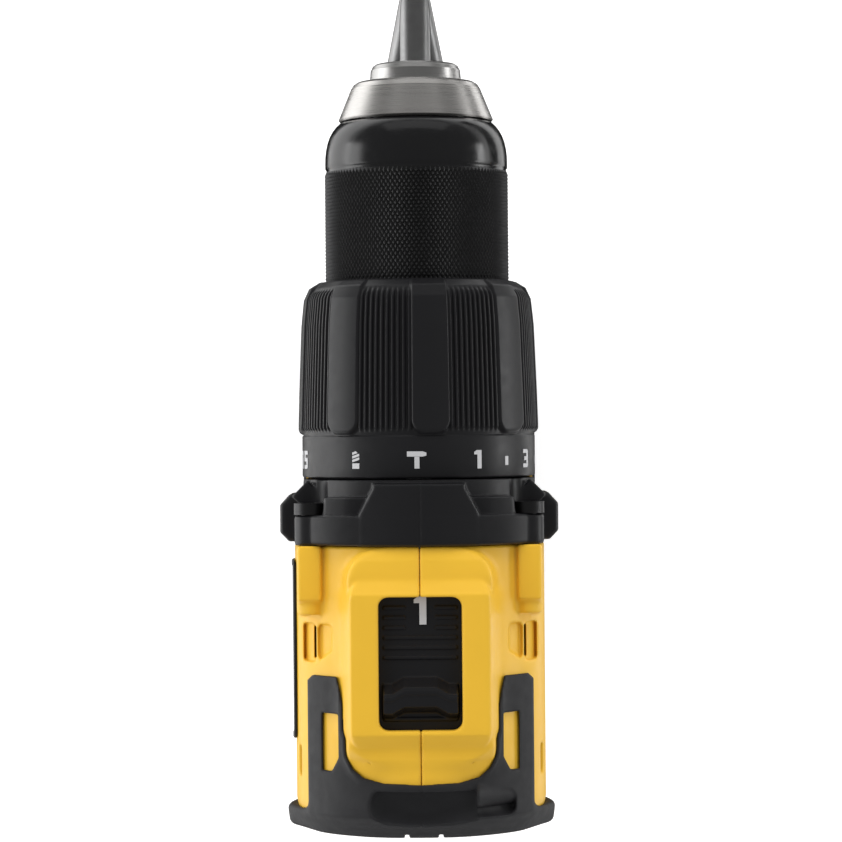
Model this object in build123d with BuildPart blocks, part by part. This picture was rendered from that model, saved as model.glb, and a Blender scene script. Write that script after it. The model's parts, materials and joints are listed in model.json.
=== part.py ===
"""Cordless hammer drill-driver: keyless 13 mm chuck, torque collar, two-speed planetary gearbox,
brushless motor, pistol grip and slide-on battery pack. All sizes are in millimetres.

+X points out of the chuck and +Z is up. The origin lies on the surface that the battery stands on,
halfway along and halfway across the drill. Every piece is modelled where it sits in the drill."""

import os
from math import acos, cos, pi, radians, sin, tan

from build123d import *

# ---------------------------------------------------------------- driving dimensions
NOSE_X = 95.0  # tips of the closed jaws
TAIL_X = -95.0  # back of the rear bumper
AXIS_Z = 172.0  # height of the spindle's axis
TOP_Z = AXIS_Z + 31.5  # top of the hump over the speed selector
WALL = 2.6  # moulded housing wall
RUNNING = 0.03  # radial clearance of a shaft in its bearing

CHUCK_FRONT_X = 80.0
CONE_BACK_X = 66.9
SLEEVE_BACK_X = 28.5
SLEEVE_R = 21.1
COLLAR_FRONT_X = 30.0
GRIP_BACK_X = -5.0  # where the collar's ribs end and its number band begins
COLLAR_BACK_X = -14.5
NUMBER_BAND_R = 26.7
CASE_BACK_X = -29.4
BARREL_R = 28.6
HALF_WIDTH = 31.8  # battery, the widest piece

JAW_TILT = 13.0
JAW_R = 3.5
JAW_LENGTH = 39.0
JAW_TRAVEL = 28.0

SPINDLE_R = 6.0
THREAD_R = 6.35  # half-inch chuck thread
TUBE_R = 14.0  # gear case nose tube
BORE_R = 10.5  # bore of the nose tube
CAVITY_R = 21.3  # inside of the gear case

FOOT_BOTTOM_Z = 38.2
FOOT_TOP_Z = 58.5
PACK_TOP_Z = 38.0
PACK_SPLIT_Z = 19.0
PACK_BACK_X, PACK_FRONT_X = -72.0, 33.0

HEAD = Plane(origin=(0, 0, AXIS_Z), x_dir=(1, 0, 0), z_dir=(0, -1, 0))
HEAD_AXIS = Axis((0, 0, AXIS_Z), (1, 0, 0))
THIRDS = (0, 120, 240)


# ---------------------------------------------------------------- helpers
def keep(builder, name):
    """Labels a finished piece and writes it as one STEP file."""
    piece = builder.part if isinstance(builder, BuildPart) else builder
    piece.label = name
    export_step(piece, f"parts/{name}.step")


def across(x, y=0.0, z=0.0):
    """A plane that faces +X at x, centred y and z off the head's axis."""
    return Plane(origin=(x, y, AXIS_Z + z), x_dir=(0, 1, 0), z_dir=(1, 0, 0))


def turned(*outline):
    """A solid turned about the head's axis from a closed outline of (x, radius) points."""
    with BuildPart() as body:
        with BuildSketch(HEAD):
            with BuildLine():
                Polyline(*outline, close=True)
            make_face()
        revolve(axis=HEAD_AXIS)
    return body.part


def ring(x_low, x_high, r_in, r_out):
    """A plain tube about the head's axis."""
    return turned((x_low, r_in), (x_high, r_in), (x_high, r_out), (x_low, r_out))


def rod(x_low, x_high, radius, y=0.0, z=0.0):
    """A round bar along X, centred y and z off the head's axis."""
    with BuildPart() as body:
        with BuildSketch(across(x_low, y, z)):
            Circle(radius)
        extrude(amount=x_high - x_low)
    return body.part


def block(x_low, x_high, y_low, y_high, z_low, z_high, corner=0.0):
    """A box between two corners, with its upright edges rounded if a corner radius is given."""
    middle = ((x_low + x_high) / 2, (y_low + y_high) / 2)
    with BuildPart() as body:
        with BuildSketch(Plane.XY.offset(z_low)):
            with Locations(middle):
                if corner:
                    RectangleRounded(x_high - x_low, y_high - y_low, corner)
                else:
                    Rectangle(x_high - x_low, y_high - y_low)
        extrude(amount=z_high - z_low)
    return body.part


def crossbar(x, z, radius, y_low, y_high):
    """A round bar along Y."""
    with BuildPart() as body:
        with BuildSketch(Plane(origin=(x, y_low, z), x_dir=(1, 0, 0), z_dir=(0, 1, 0))):
            Circle(radius)
        extrude(amount=y_high - y_low)
    return body.part


def within(piece, *limits):
    """The share of a piece inside a block."""
    with BuildPart() as share:
        add(piece)
        add(block(*limits), mode=Mode.INTERSECT)
    return share.part


def about_head(piece, angles):
    """Copies of a piece turned about the head's axis."""
    return [piece.rotate(HEAD_AXIS, angle) for angle in angles]


# ---------------------------------------------------------------- chuck
JAW_SIN, JAW_COS = sin(radians(JAW_TILT)), cos(radians(JAW_TILT))
JAW_PLANE = Plane(
    origin=(NOSE_X, 0, AXIS_Z), x_dir=(JAW_SIN, 0, JAW_COS), z_dir=(-JAW_COS, 0, JAW_SIN)
)
NUT_BACK_X, NUT_FRONT_X = 57.0, 64.8
NUT_R = 16.5
NECK_R = 10.2
SHOULDER_X = 54.0
SLEEVE_BORE_R = 19.3
BIT_BORE_R = 6.6
SPINDLE_FRONT_X = 41.5
WEB_FRONT_X = 44.0


def jaw_reach(x):
    """The largest radius that a closed jaw's bar has at x."""
    return (NOSE_X - x) * tan(radians(JAW_TILT)) + JAW_R / JAW_COS


def jaw_bar(radius, length, overhang):
    """The tilted bar that a jaw is cut from, or that its bore is."""
    with BuildPart() as bar:
        with BuildSketch(JAW_PLANE.offset(-overhang)):
            Circle(radius)
        extrude(amount=overhang + length)
    return bar.part


def jaw():
    """One jaw, uppermost: a tilted bar with a wedge-shaped gripping nose and thread teeth behind."""
    gap, reach = 0.12, 40.0
    tooth_count, tooth_pitch, tooth_gap, tooth_depth = 15, 1.41, 0.7, 0.5
    teeth = [JAW_LENGTH - 1.6 - tooth_pitch * i for i in range(tooth_count)]
    with BuildPart() as piece:
        add(jaw_bar(JAW_R, JAW_LENGTH, 4))
        with BuildSketch(Plane(origin=(NOSE_X, 0, AXIS_Z), x_dir=(0, 1, 0), z_dir=(1, 0, 0))):
            with BuildLine():
                Polyline(
                    (0, gap),
                    (reach * tan(pi / 3), reach + gap),
                    (-reach * tan(pi / 3), reach + gap),
                    close=True,
                )
            make_face()
        extrude(amount=-2 * JAW_LENGTH, mode=Mode.INTERSECT)
        with Locations(JAW_PLANE):
            with Locations(*[(JAW_R, 0, z) for z in teeth]):
                Box(2 * tooth_depth, 2 * JAW_R, tooth_gap, mode=Mode.SUBTRACT)
    return piece.part


def chuck_body():
    """Steel body: front ring, neck under the jaw nut, guide barrel, jaw bores and thread bore."""
    bore = jaw_bar(JAW_R + 0.1, JAW_LENGTH + JAW_TRAVEL + 1.0, 4)
    with BuildPart() as body:
        add(
            turned(
                (27.5, 0),
                (27.5, 19.0),
                (28.4, 19.0),
                (28.4, 17.0),
                (SHOULDER_X, 17.0),
                (SHOULDER_X, NECK_R),
                (65.2, NECK_R),
                (65.2, 13.5),
                (75.2, 13.5),
                (75.2, 10.6),
                (78.6, 10.3),
                (79.6, 9.8),
                (CHUCK_FRONT_X, 9.2),
                (CHUCK_FRONT_X, 0),
            )
        )
        add(rod(27.5, SPINDLE_FRONT_X, THREAD_R), mode=Mode.SUBTRACT)
        add(rod(SPINDLE_FRONT_X, WEB_FRONT_X, 3.2), mode=Mode.SUBTRACT)
        add(rod(WEB_FRONT_X, CHUCK_FRONT_X, BIT_BORE_R), mode=Mode.SUBTRACT)
        add(about_head(bore, THIRDS), mode=Mode.SUBTRACT)
    return body.part


def chuck_nose_cone():
    """Bright steel cone pressed on the front of the body."""
    return turned(
        (CONE_BACK_X, 13.5),
        (CONE_BACK_X, 17.4),
        (67.3, 17.75),
        (74.3, 14.9),
        (75.3, 14.3),
        (75.8, 13.5),
    )


def jaw_nut():
    """Threaded ring whose tapered bore runs on the jaws' teeth."""
    slack = 0.2
    return turned(
        (NUT_BACK_X, jaw_reach(NUT_BACK_X) + slack),
        (NUT_FRONT_X, jaw_reach(NUT_FRONT_X) + slack),
        (NUT_FRONT_X, NUT_R),
        (NUT_BACK_X, NUT_R),
    )


def chuck_sleeve():
    """Domed black sleeve that a hand turns: it carries the jaw nut."""
    dome_back_x, band_x = 58.0, 55.8
    with BuildPart() as sleeve:
        with BuildSketch(HEAD):
            with BuildLine():
                ThreePointArc((66.6, 17.6), (63.6, 19.75), (dome_back_x, 20.9))
                Polyline(
                    (dome_back_x, 20.9),
                    (band_x, 20.9),
                    (band_x, SLEEVE_R),
                    (SLEEVE_BACK_X, SLEEVE_R),
                    (SLEEVE_BACK_X, SLEEVE_BORE_R),
                    (NUT_BACK_X, SLEEVE_BORE_R),
                    (NUT_BACK_X, NUT_R),
                    (NUT_FRONT_X, NUT_R),
                    (NUT_FRONT_X, 14.6),
                    (66.6, 14.6),
                    (66.6, 17.6),
                )
            make_face()
        revolve(axis=HEAD_AXIS)
    return sleeve.part


def chuck_thrust_bearing():
    """Race washer and ball ring between the body's shoulder and the jaw nut."""
    ball_r, pitch_r, count, race = 1.15, 15.1, 24, 0.6
    ball_x = (SHOULDER_X + race + NUT_BACK_X) / 2
    with BuildPart() as bearing:
        add(ring(SHOULDER_X, SHOULDER_X + race, 13.6, 16.8))
        with Locations(across(ball_x)):
            with PolarLocations(pitch_r, count):
                Sphere(ball_r)
    return bearing.part


def chuck_screw():
    """Left-hand screw down the bore that locks the chuck on the spindle."""
    with BuildPart() as screw:
        add(rod(26.5, WEB_FRONT_X, 2.95))
        add(rod(WEB_FRONT_X, 47.4, 5.2))
        with BuildSketch(across(47.4)):
            RegularPolygon(2.6, 6)
        extrude(amount=-2.2, mode=Mode.SUBTRACT)
    return screw.part


# ---------------------------------------------------------------- gears
PRESSURE = radians(25.0)
STUB, ROOT = 0.8, 1.1  # tooth height above and below the pitch circle, in modules
FLANK_SLACK = 0.05  # taken off each flank

# sun, planet and ring teeth, module, and the planets' and the ring's span along X
STAGES = {
    1: dict(sun=12, planet=18, ring=48, module=0.75, planets=(-27.5, -22.2), ring_x=(-28.2, -22.3)),
    2: dict(sun=18, planet=15, ring=48, module=0.75, planets=(-18.8, -13.0), ring_x=(-18.2, -13.0)),
    3: dict(sun=15, planet=12, ring=39, module=0.9, planets=(-10.0, -4.2), ring_x=(-10.3, -3.6)),
}
PIN_R = 2.0


def gear_outline(teeth, module, above, below, slack, turn):
    """Corner points of a toothed outline: involute flanks, with a tooth centred at the angle turn."""
    pitch_r = teeth * module / 2
    base_r = pitch_r * cos(PRESSURE)
    tip_r, root_r = pitch_r + above, pitch_r - below
    lowest = max(base_r, root_r)
    radii = [lowest + (tip_r - lowest) * i / 3 for i in range(4)]

    def half_angle(radius):
        angle = acos(min(1.0, base_r / radius))
        spread = tan(PRESSURE) - PRESSURE - tan(angle) + angle
        return pi / (2 * teeth) + slack / pitch_r + spread

    flank = [(r, half_angle(r)) for r in radii]
    if root_r < base_r:
        flank.insert(0, (root_r, half_angle(base_r)))
    points = []
    for tooth in range(teeth):
        middle = radians(turn) + 2 * pi * tooth / teeth
        points += [(r * cos(middle - a), r * sin(middle - a)) for r, a in flank]
        points += [(r * cos(middle + a), r * sin(middle + a)) for r, a in reversed(flank)]
    return points


def gear(x_low, x_high, teeth, module, bore_r, turn=0.0, centre=(0.0, 0.0)):
    """An external spur gear with a round bore."""
    points = gear_outline(teeth, module, STUB * module, ROOT * module, -FLANK_SLACK, turn)
    with BuildPart() as wheel:
        with BuildSketch(across(x_low, *centre)):
            with BuildLine():
                Polyline(*points, close=True)
            make_face()
            if bore_r:
                Circle(bore_r, mode=Mode.SUBTRACT)
        extrude(amount=x_high - x_low)
    return wheel.part


def ring_gear(stage, outer_r):
    """An internal gear: a ring cut by a cutter of the same tooth count."""
    s = STAGES[stage]
    half_pitch = 0 if s["planet"] % 2 else 180 / s["ring"]
    m = s["module"]
    points = gear_outline(s["ring"], m, ROOT * m, STUB * m, FLANK_SLACK, half_pitch)
    x_low, x_high = s["ring_x"]
    with BuildPart() as wheel:
        with BuildSketch(across(x_low)):
            Circle(outer_r)
            with BuildLine():
                Polyline(*points, close=True)
            make_face(mode=Mode.SUBTRACT)
        extrude(amount=x_high - x_low)
    return wheel.part


def planet_radius(stage):
    """Distance of the planets' pins from the head's axis."""
    s = STAGES[stage]
    return (s["sun"] + s["planet"]) * s["module"] / 2


def planet(stage, angle):
    """One planet gear on its pin, with a tooth space facing the sun's tooth."""
    s = STAGES[stage]
    reach = planet_radius(stage)
    first_tooth = 180 + 180 / s["planet"]
    wheel = gear(
        *s["planets"], s["planet"], s["module"], PIN_R + RUNNING, first_tooth, (reach, 0)
    )
    return wheel.rotate(HEAD_AXIS, angle)


def carrier(stage, plate_x, plate_r, pin_back_x):
    """A planet carrier: a plate with three pins behind it and, if a stage follows, its sun in front."""
    with BuildPart() as piece:
        add(rod(*plate_x, plate_r))
        pin = rod(pin_back_x, plate_x[0], PIN_R, planet_radius(stage))
        add(about_head(pin, THIRDS))
        if stage < 3:
            following = STAGES[stage + 1]
            sun_front = following["planets"][1]
            add(gear(plate_x[1], sun_front, following["sun"], following["module"], 0))
    return piece.part


def drive_flats(x_low, x_high):
    """The spindle's two-flat drive end."""
    shaft = rod(x_low, x_high, SPINDLE_R)
    return within(shaft, x_low, x_high, -4.5, 4.5, AXIS_Z - 10, AXIS_Z + 10)


def output_carrier():
    """Third carrier, bored for the spindle's two flats."""
    plate = (-3.3, 0.2)
    with BuildPart() as piece:
        add(carrier(3, plate, 16.0, -9.8))
        add(drive_flats(*plate), mode=Mode.SUBTRACT)
    return piece.part


def clutch_ring_gear():
    """Third ring gear: its front face carries the ramps that the clutch pins sit between."""
    with BuildPart() as piece:
        add(ring_gear(3, CAVITY_R - 0.2))
        ramp = block(-4.4, -3.5, 18.9, 20.6, AXIS_Z - 0.9, AXIS_Z + 0.9)
        add(about_head(ramp, [60 * i + 30 for i in range(6)]), mode=Mode.SUBTRACT)
    return piece.part


def shifting_ring_gear():
    """Second ring gear, with a groove round it for the shift link."""
    with BuildPart() as piece:
        add(ring_gear(2, CAVITY_R - 0.2))
        add(ring(-17.1, -15.0, 19.9, 22.0), mode=Mode.SUBTRACT)
    return piece.part


# ---------------------------------------------------------------- spindle, hammer and clutch
BEARING_X = (18.5, 23.5)
CLUTCH_PIN_R, CLUTCH_PIN_PITCH_R = 1.5, 19.0
WASHER_X = (5.6, 7.0)
CLUTCH_NUT_X = (15.0, 19.0)


def spindle():
    """Output spindle: two-flat end, journal, shoulder and the chuck's thread, bored for the screw."""
    with BuildPart() as shaft:
        add(drive_flats(-3.3, 0.2))
        add(rod(0.2, 24.7, SPINDLE_R))
        add(rod(24.7, 27.5, 9.4))
        add(rod(27.5, SPINDLE_FRONT_X, THREAD_R))
        add(rod(20.0, SPINDLE_FRONT_X, 3.0), mode=Mode.SUBTRACT)
    return shaft.part


def ball_bearing(x_low, x_high, r_in, r_out, balls=9):
    """Inner ring, outer ring and balls of a ball bearing, as separate solids."""
    ring_wall = (r_out - r_in) * 0.27
    pitch_r = (r_in + r_out) / 2
    ball_r = (r_out - r_in) / 2 - ring_wall - 0.02
    with BuildPart() as bearing:
        add(ring(x_low, x_high, r_in, r_in + ring_wall))
        add(ring(x_low, x_high, r_out - ring_wall, r_out))
        with Locations(across((x_low + x_high) / 2)):
            with PolarLocations(pitch_r, balls):
                Sphere(ball_r)
    return bearing.part


def hammer_cam(x_low, x_high, r_in, r_out, toothed_x):
    """A ratchet disc with twelve radial notches in the face at toothed_x."""
    notch = block(
        toothed_x - 0.9, toothed_x + 0.9, r_in - 2, r_out + 2, AXIS_Z - 0.9, AXIS_Z + 0.9
    )
    with BuildPart() as cam:
        add(ring(x_low, x_high, r_in, r_out))
        add(about_head(notch, [30 * i for i in range(12)]), mode=Mode.SUBTRACT)
    return cam.part


def clutch_pins():
    """Six pins through the gear case's front wall, and the washer that the spring presses on them."""
    pin = rod(-3.6, WASHER_X[0], CLUTCH_PIN_R, CLUTCH_PIN_PITCH_R)
    with BuildPart() as pins:
        add(about_head(pin, [60 * i for i in range(6)]))
        add(ring(*WASHER_X, 15.2, 20.4))
    return pins.part


def clutch_spring():
    """Compressed clutch spring of four coils round the nose tube."""
    coil_r, wire_r, turns = 17.6, 1.0, 4
    start_x = WASHER_X[1] + wire_r + 0.1
    length = CLUTCH_NUT_X[0] - wire_r - 0.1 - start_x
    with BuildPart() as spring:
        with BuildLine():
            Helix(length / turns, length, coil_r)
        with BuildSketch(Plane(origin=(coil_r, 0, 0), z_dir=(0, 1, 0))):
            Circle(wire_r)
        sweep(is_frenet=True)
    return spring.part.rotate(Axis.Y, 90).moved(Location((start_x, 0, AXIS_Z)))


def clutch_nut():
    """Nut on the nose tube that the torque collar turns and so drives along the thread."""
    notch = block(*CLUTCH_NUT_X, 20.3, 22.5, AXIS_Z - 1.8, AXIS_Z + 1.8)
    with BuildPart() as nut:
        add(ring(*CLUTCH_NUT_X, TUBE_R + 0.1, 21.5))
        add(about_head(notch, [45, 135, 225, 315]), mode=Mode.SUBTRACT)
    return nut.part


# ---------------------------------------------------------------- torque collar
WIDE_RIBS, WIDE_RIB_WIDTH = 8, 6.8
RIB_TURN = -6.0  # the widest ribs stand this far round from straight up
FINE_RIBS, FINE_PITCH = 10, 2.75
COLLAR_SKIN = (
    (COLLAR_FRONT_X, 22.6),
    (28.6, 24.9),
    (26.0, 26.1),
    (20.3, 26.7),
    (5.0, 27.3),
    (-3.6, 27.6),
    (GRIP_BACK_X, 26.6),
)


def collar_ribs(drop, half_width, angles):
    """Flat-sided ribs out to the collar's skin lowered by drop, at angles from straight up."""
    skin = turned(
        (GRIP_BACK_X, 24.6),
        *[(x, r - drop) for x, r in reversed(COLLAR_SKIN)],
        (COLLAR_FRONT_X, 21.9),
    )
    low, high = AXIS_Z + 21, AXIS_Z + 29
    rib = within(skin, GRIP_BACK_X, COLLAR_FRONT_X, -half_width, half_width, low, high)
    return about_head(rib, angles)


def clutch_collar():
    """Ribbed torque collar with its number band, and four inner keys that turn the clutch nut."""
    sector = 360 / WIDE_RIBS
    wide = [RIB_TURN + sector * i for i in range(WIDE_RIBS)]
    first = sector / 2 - FINE_PITCH * (FINE_RIBS - 1) / 2
    fine = [angle + first + FINE_PITCH * i for angle in wide for i in range(FINE_RIBS)]
    key = block(8.0, 26.0, 20.6, 22.3, AXIS_Z - 1.5, AXIS_Z + 1.5)
    with BuildPart() as collar:
        add(
            turned(
                (COLLAR_BACK_X, 23.6),
                (5.0, 23.6),
                (6.6, 22.0),
                (27.0, 22.0),
                (27.3, 21.7),
                (COLLAR_FRONT_X, 21.7),
                (COLLAR_FRONT_X, 22.2),
                (28.4, 24.2),
                (26.0, 25.2),
                (20.3, 25.7),
                (5.0, 26.3),
                (-3.6, 26.6),
                (GRIP_BACK_X, NUMBER_BAND_R),
                (COLLAR_BACK_X + 0.4, NUMBER_BAND_R),
                (COLLAR_BACK_X, NUMBER_BAND_R - 0.4),
            )
        )
        add(collar_ribs(0.0, WIDE_RIB_WIDTH / 2, wide))
        add(collar_ribs(0.5, 0.28, fine))
        add(about_head(key, [45, 135, 225, 315]))
    return collar.part


# ---------------------------------------------------------------- gear case
CASE_SCREWS = [(y, z) for y in (-24.5, 24.5) for z in (-16.5, 16.5)]
EAR_Y = 31.6
COVER_TOP = 29.8
SPIGOT_R = 24.5  # where the gear case plugs into the housing
LINK_Z = (24.1, 25.7)  # the shift link's underside and top over the axis
PLATE_Z = (26.2, 27.6)  # the same for the selector's plate
LINK_TOE_Z = (21.8, 23.3)  # the same for its low front end, which runs inside the torque collar
LINK_HALF = 2.4


def link_slot(x_low, x_high, height):
    """Space for the shift link up to a height over the axis, with room to move."""
    side = LINK_HALF + 0.4
    return block(x_low, x_high, -side, side, AXIS_Z + 18, AXIS_Z + height)


def gear_case():
    """Black gear case: nose tube, clutch wall, shell, flange, screw bosses, side ears and the
    raised cover of the shift link."""
    ear = [(CASE_BACK_X, 0), (CASE_BACK_X, EAR_Y - 2.4), (-26.6, EAR_Y), (-20.6, EAR_Y)]
    ear += [(-18.6, EAR_Y - 2.0), (-15.6, 24.0), (-15.6, 0)]
    cover = [(CASE_BACK_X, 0), (CASE_BACK_X, 13.2), (-21.8, 13.2), (-17.6, 10.0), (-15.6, 10.0)]
    cover += [(-15.6, 0)]
    with BuildPart() as case:
        add(
            turned(
                (-33.0, 0),
                (-33.0, SPIGOT_R),
                (CASE_BACK_X, SPIGOT_R),
                (CASE_BACK_X, 28.0),
                (-22.3, 28.0),
                (-18.8, 26.5),
                (-15.0, 26.3),
                (-15.0, 23.2),
                (4.6, 23.2),
                (4.6, TUBE_R),
                (24.3, TUBE_R),
                (24.3, 0),
            )
        )
        for y, z in CASE_SCREWS:
            add(rod(CASE_BACK_X, -19.6, 4.6, y, z))
        for outline, low, high in ((ear, -9.0, 9.0), (cover, 0.0, COVER_TOP)):
            with BuildSketch(Plane.XY.offset(AXIS_Z + low)):
                with BuildLine():
                    Polyline(*outline, close=True)
                make_face()
                mirror(about=Plane.XZ)
            extrude(amount=high - low)
        add(link_slot(-40.0, -17.2, LINK_Z[1] + 0.5), mode=Mode.SUBTRACT)
        add(link_slot(-18.0, -12.9, LINK_TOE_Z[1] + 0.1), mode=Mode.SUBTRACT)
        add(rod(-34.0, 1.0, CAVITY_R), mode=Mode.SUBTRACT)
        add(rod(0.0, 25.0, BORE_R), mode=Mode.SUBTRACT)
        pin_hole = rod(0.5, 5.0, CLUTCH_PIN_R + 0.05, CLUTCH_PIN_PITCH_R)
        add(about_head(pin_hole, [60 * i for i in range(6)]), mode=Mode.SUBTRACT)
        for y, z in CASE_SCREWS:
            add(rod(CASE_BACK_X - 1, -15, 2.1, y, z), mode=Mode.SUBTRACT)
            add(rod(-22.6, -15, 3.9, y, z), mode=Mode.SUBTRACT)
    return case.part


def cap_screw(head_x, tip_x, y, z):
    """A pan screw along X with a six-point socket."""
    with BuildPart() as screw:
        add(rod(tip_x, head_x, 2.0, y, z))
        add(rod(head_x, head_x + 2.6, 3.6, y, z))
        with BuildSketch(across(head_x + 2.6, y, z)):
            RegularPolygon(1.7, 6)
        extrude(amount=-1.5, mode=Mode.SUBTRACT)
    return screw.part


def gearbox_rear_plate():
    """Plate that closes the gear case and seats the motor's front bearing."""
    with BuildPart() as plate:
        add(ring(-31.5, -28.4, 6.0, CAVITY_R))
        add(ring(-36.6, -31.5, 8.0, 10.2))
    return plate.part


def shift_link():
    """Cranked bar over the gearbox: a tongue in the second ring gear's groove at the front, a cross
    end by the selector at the back."""
    low, high = AXIS_Z + LINK_Z[0], AXIS_Z + LINK_Z[1]
    toe_low, toe_high = AXIS_Z + LINK_TOE_Z[0], AXIS_Z + LINK_TOE_Z[1]
    with BuildPart() as link:
        add(block(-48.3, -19.5, -LINK_HALF, LINK_HALF, low, high))
        add(block(-48.3, -46.8, -5.6, 5.6, low, high))
        add(block(-21.0, -19.5, -LINK_HALF, LINK_HALF, toe_low, high))
        add(block(-21.0, -15.2, -LINK_HALF, LINK_HALF, toe_low, toe_high))
        add(block(-16.9, -15.2, -LINK_HALF, LINK_HALF, AXIS_Z + 20.1, toe_high))
    return link.part


def speed_selector():
    """Slider under the housing's window: plate, raised grip, ribs and lugs that drive the link."""
    plate = (AXIS_Z + PLATE_Z[0], AXIS_Z + PLATE_Z[1])
    with BuildPart() as slider:
        add(block(-76.9, -40.1, -10.6, 10.6, *plate))
        with BuildSketch(Plane.XZ):
            with BuildLine():
                Polyline(
                    (-65.6, plate[1]),
                    (-64.2, TOP_Z - 0.4),
                    (-60.2, TOP_Z - 0.4),
                    (-58.0, plate[1]),
                    close=True,
                )
            make_face()
        extrude(amount=8.2, both=True)
        for x in (-43.0, -45.2, -47.4, -49.6, -51.8, -54.0, -67.2):
            add(block(x - 0.45, x + 0.45, -8.2, 8.2, plate[1], plate[1] + 0.3))
        for x in (-46.5, -54.8):
            for low, high in ((-6.0, -3.2), (3.2, 6.0)):
                add(block(x, x + 1.5, low, high, AXIS_Z + LINK_Z[0], plate[0]))
    return slider.part


# ---------------------------------------------------------------- motor
STATOR_X = (-62.0, -40.0)
ROTOR_R, BORE_GAP = 12.9, 0.6
SHAFT_R = 2.5
SLOTS = 6
TOOTH_WIDTH = 5.0


def stator():
    """Laminated core: a back ring with six teeth."""
    tooth_tip = ROTOR_R + BORE_GAP
    low, high = STATOR_X
    tooth = block(low, high, -TOOTH_WIDTH / 2, TOOTH_WIDTH / 2, AXIS_Z + 13, AXIS_Z + 19.5)
    shoe = block(low, high, -4.5, 4.5, AXIS_Z + 13, AXIS_Z + 15.1)
    with BuildPart() as core:
        add(ring(low, high, 18.8, 22.0))
        add(about_head(tooth, [60 * i for i in range(SLOTS)]))
        add(about_head(shoe, [60 * i for i in range(SLOTS)]))
        add(rod(low - 1, high + 1, tooth_tip), mode=Mode.SUBTRACT)
    return core.part


def stator_windings():
    """Six copper coils, one round each tooth."""
    overhang = 2.4
    with BuildPart() as coil:
        with BuildSketch(across(STATOR_X[0] - overhang)):
            with Locations((0, 16.7)):
                Rectangle(9.4, 2.8)
        extrude(amount=STATOR_X[1] - STATOR_X[0] + 2 * overhang)
        with BuildSketch(across(STATOR_X[0])):
            with Locations((0, 16.5)):
                Rectangle(TOOTH_WIDTH, 7.0)
        extrude(amount=STATOR_X[1] - STATOR_X[0], mode=Mode.SUBTRACT)
    with BuildPart() as coils:
        add(about_head(coil.part, [60 * i for i in range(SLOTS)]))
    return coils.part


def rotor():
    """Steel shaft and magnet rotor."""
    with BuildPart() as piece:
        add(rod(-88.5, -22.3, SHAFT_R))
        add(ring(*STATOR_X, SHAFT_R, ROTOR_R))
    return piece.part


def motor_fan():
    """Cooling fan with eleven blades."""
    blades = 11
    with BuildPart() as fan:
        add(ring(-80.0, -72.0, SHAFT_R, 5.5))
        add(ring(-74.2, -72.6, 5.5, 20.5))
        blade = block(-80.0, -74.2, 5.0, 20.0, AXIS_Z - 0.6, AXIS_Z + 0.6)
        add(about_head(blade, [360 / blades * i for i in range(blades)]))
    return fan.part


def motor_bearings():
    """Front and rear ball bearings of the motor shaft."""
    with BuildPart() as pair:
        add(ball_bearing(-36.6, -31.6, SHAFT_R + RUNNING, 8.0, 7))
        add(ball_bearing(-88.0, -83.0, SHAFT_R + RUNNING, 8.0, 7))
    return pair.part


def sensor_board():
    """Ring-shaped board with the rotor sensors."""
    with BuildPart() as board:
        add(ring(-65.6, -64.4, 8.0, 21.0))
        for angle in (60, 120, 180):
            chip = block(-64.4, -63.6, 9.0, 12.4, AXIS_Z - 1.5, AXIS_Z + 1.5)
            add(chip.rotate(HEAD_AXIS, angle))
    return board.part


# ---------------------------------------------------------------- housing
# height, middle of the grip along X, half its length and half its width there
GRIP_SECTIONS = (
    (152.0, -57.0, 27.5, 20.0),
    (143.0, -53.0, 24.5, 18.6),
    (132.0, -51.0, 20.8, 17.2),
    (118.0, -51.2, 19.2, 16.6),
    (102.0, -52.6, 19.0, 16.8),
    (86.0, -54.0, 19.2, 16.8),
    (72.0, -54.2, 20.5, 18.0),
    (60.0, -51.0, 24.5, 21.5),
    (52.0, -46.0, 29.0, 26.0),
)
BARREL_BACK_X = -91.0
WINDOW_X = (-69.9, -40.5)
WINDOW_HALF = 9.2
HUMP_HALF = 16.6
SADDLE_R, SADDLE_HALF = 23.6, 24.8
FOOT_X = (-74.0, 30.0)
FOOT_HALF = 30.4
FOOT_SKIN_Z = 52.4
FOOT_FLOOR_Z = 55.8
# the clamshell's screws: x, z and how far from the joint their boss and their head seat reach
SHELL_SCREWS = (
    (-80.0, 147.0, 13.2),
    (-36.6, 147.0, 13.2),
    (-62.6, 105.0, 11.0),
    (-47.0, 92.0, 13.0),
    (-56.0, 74.0, 14.4),
    (-69.2, 54.2, 14.4),
    (8.0, 54.2, 14.4),
)
BOSS_R = 3.2
CHANNEL_X = (-71.0, 34.0)
CHANNEL_HALF = 22.0
CHANNEL_TOP_Z = 50.4
LIP_HALF = 17.6
LIP_TOP_Z = 42.4
TRIGGER_HALF = 8.5
TRIGGER_Z = (112.0, 138.0)
LEVER_X = (-39.8, -32.4)
LEVER_Z = (139.5, 143.3)
LAMP_PLANE = Plane(origin=(24.0, 0, 54.6), x_dir=(0.894, 0, -0.447), z_dir=(0.447, 0, 0.894))
HOOK_HOLE = (-20.0, 47.0)  # x and z of the belt hook's threaded holes
HOOK_HOLE_R, HOOK_HOLE_DEPTH = 1.65, 7.0


def grip_loft(inset):
    """The pistol grip as one smooth loft, set in by inset all round."""
    with BuildPart() as grip:
        for height, middle, half_length, half_width in GRIP_SECTIONS:
            with BuildSketch(Plane.XY.offset(height)):
                with Locations((middle, 0)):
                    Ellipse(half_length - inset, half_width - inset)
        loft()
    return grip.part


def side_profile(points, half_width):
    """A prism across the drill from (x, z) points."""
    with BuildPart() as prism:
        with BuildSketch(Plane.XZ):
            with BuildLine():
                Polyline(*points, close=True)
            make_face()
        extrude(amount=half_width, both=True)
    return prism.part


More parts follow.
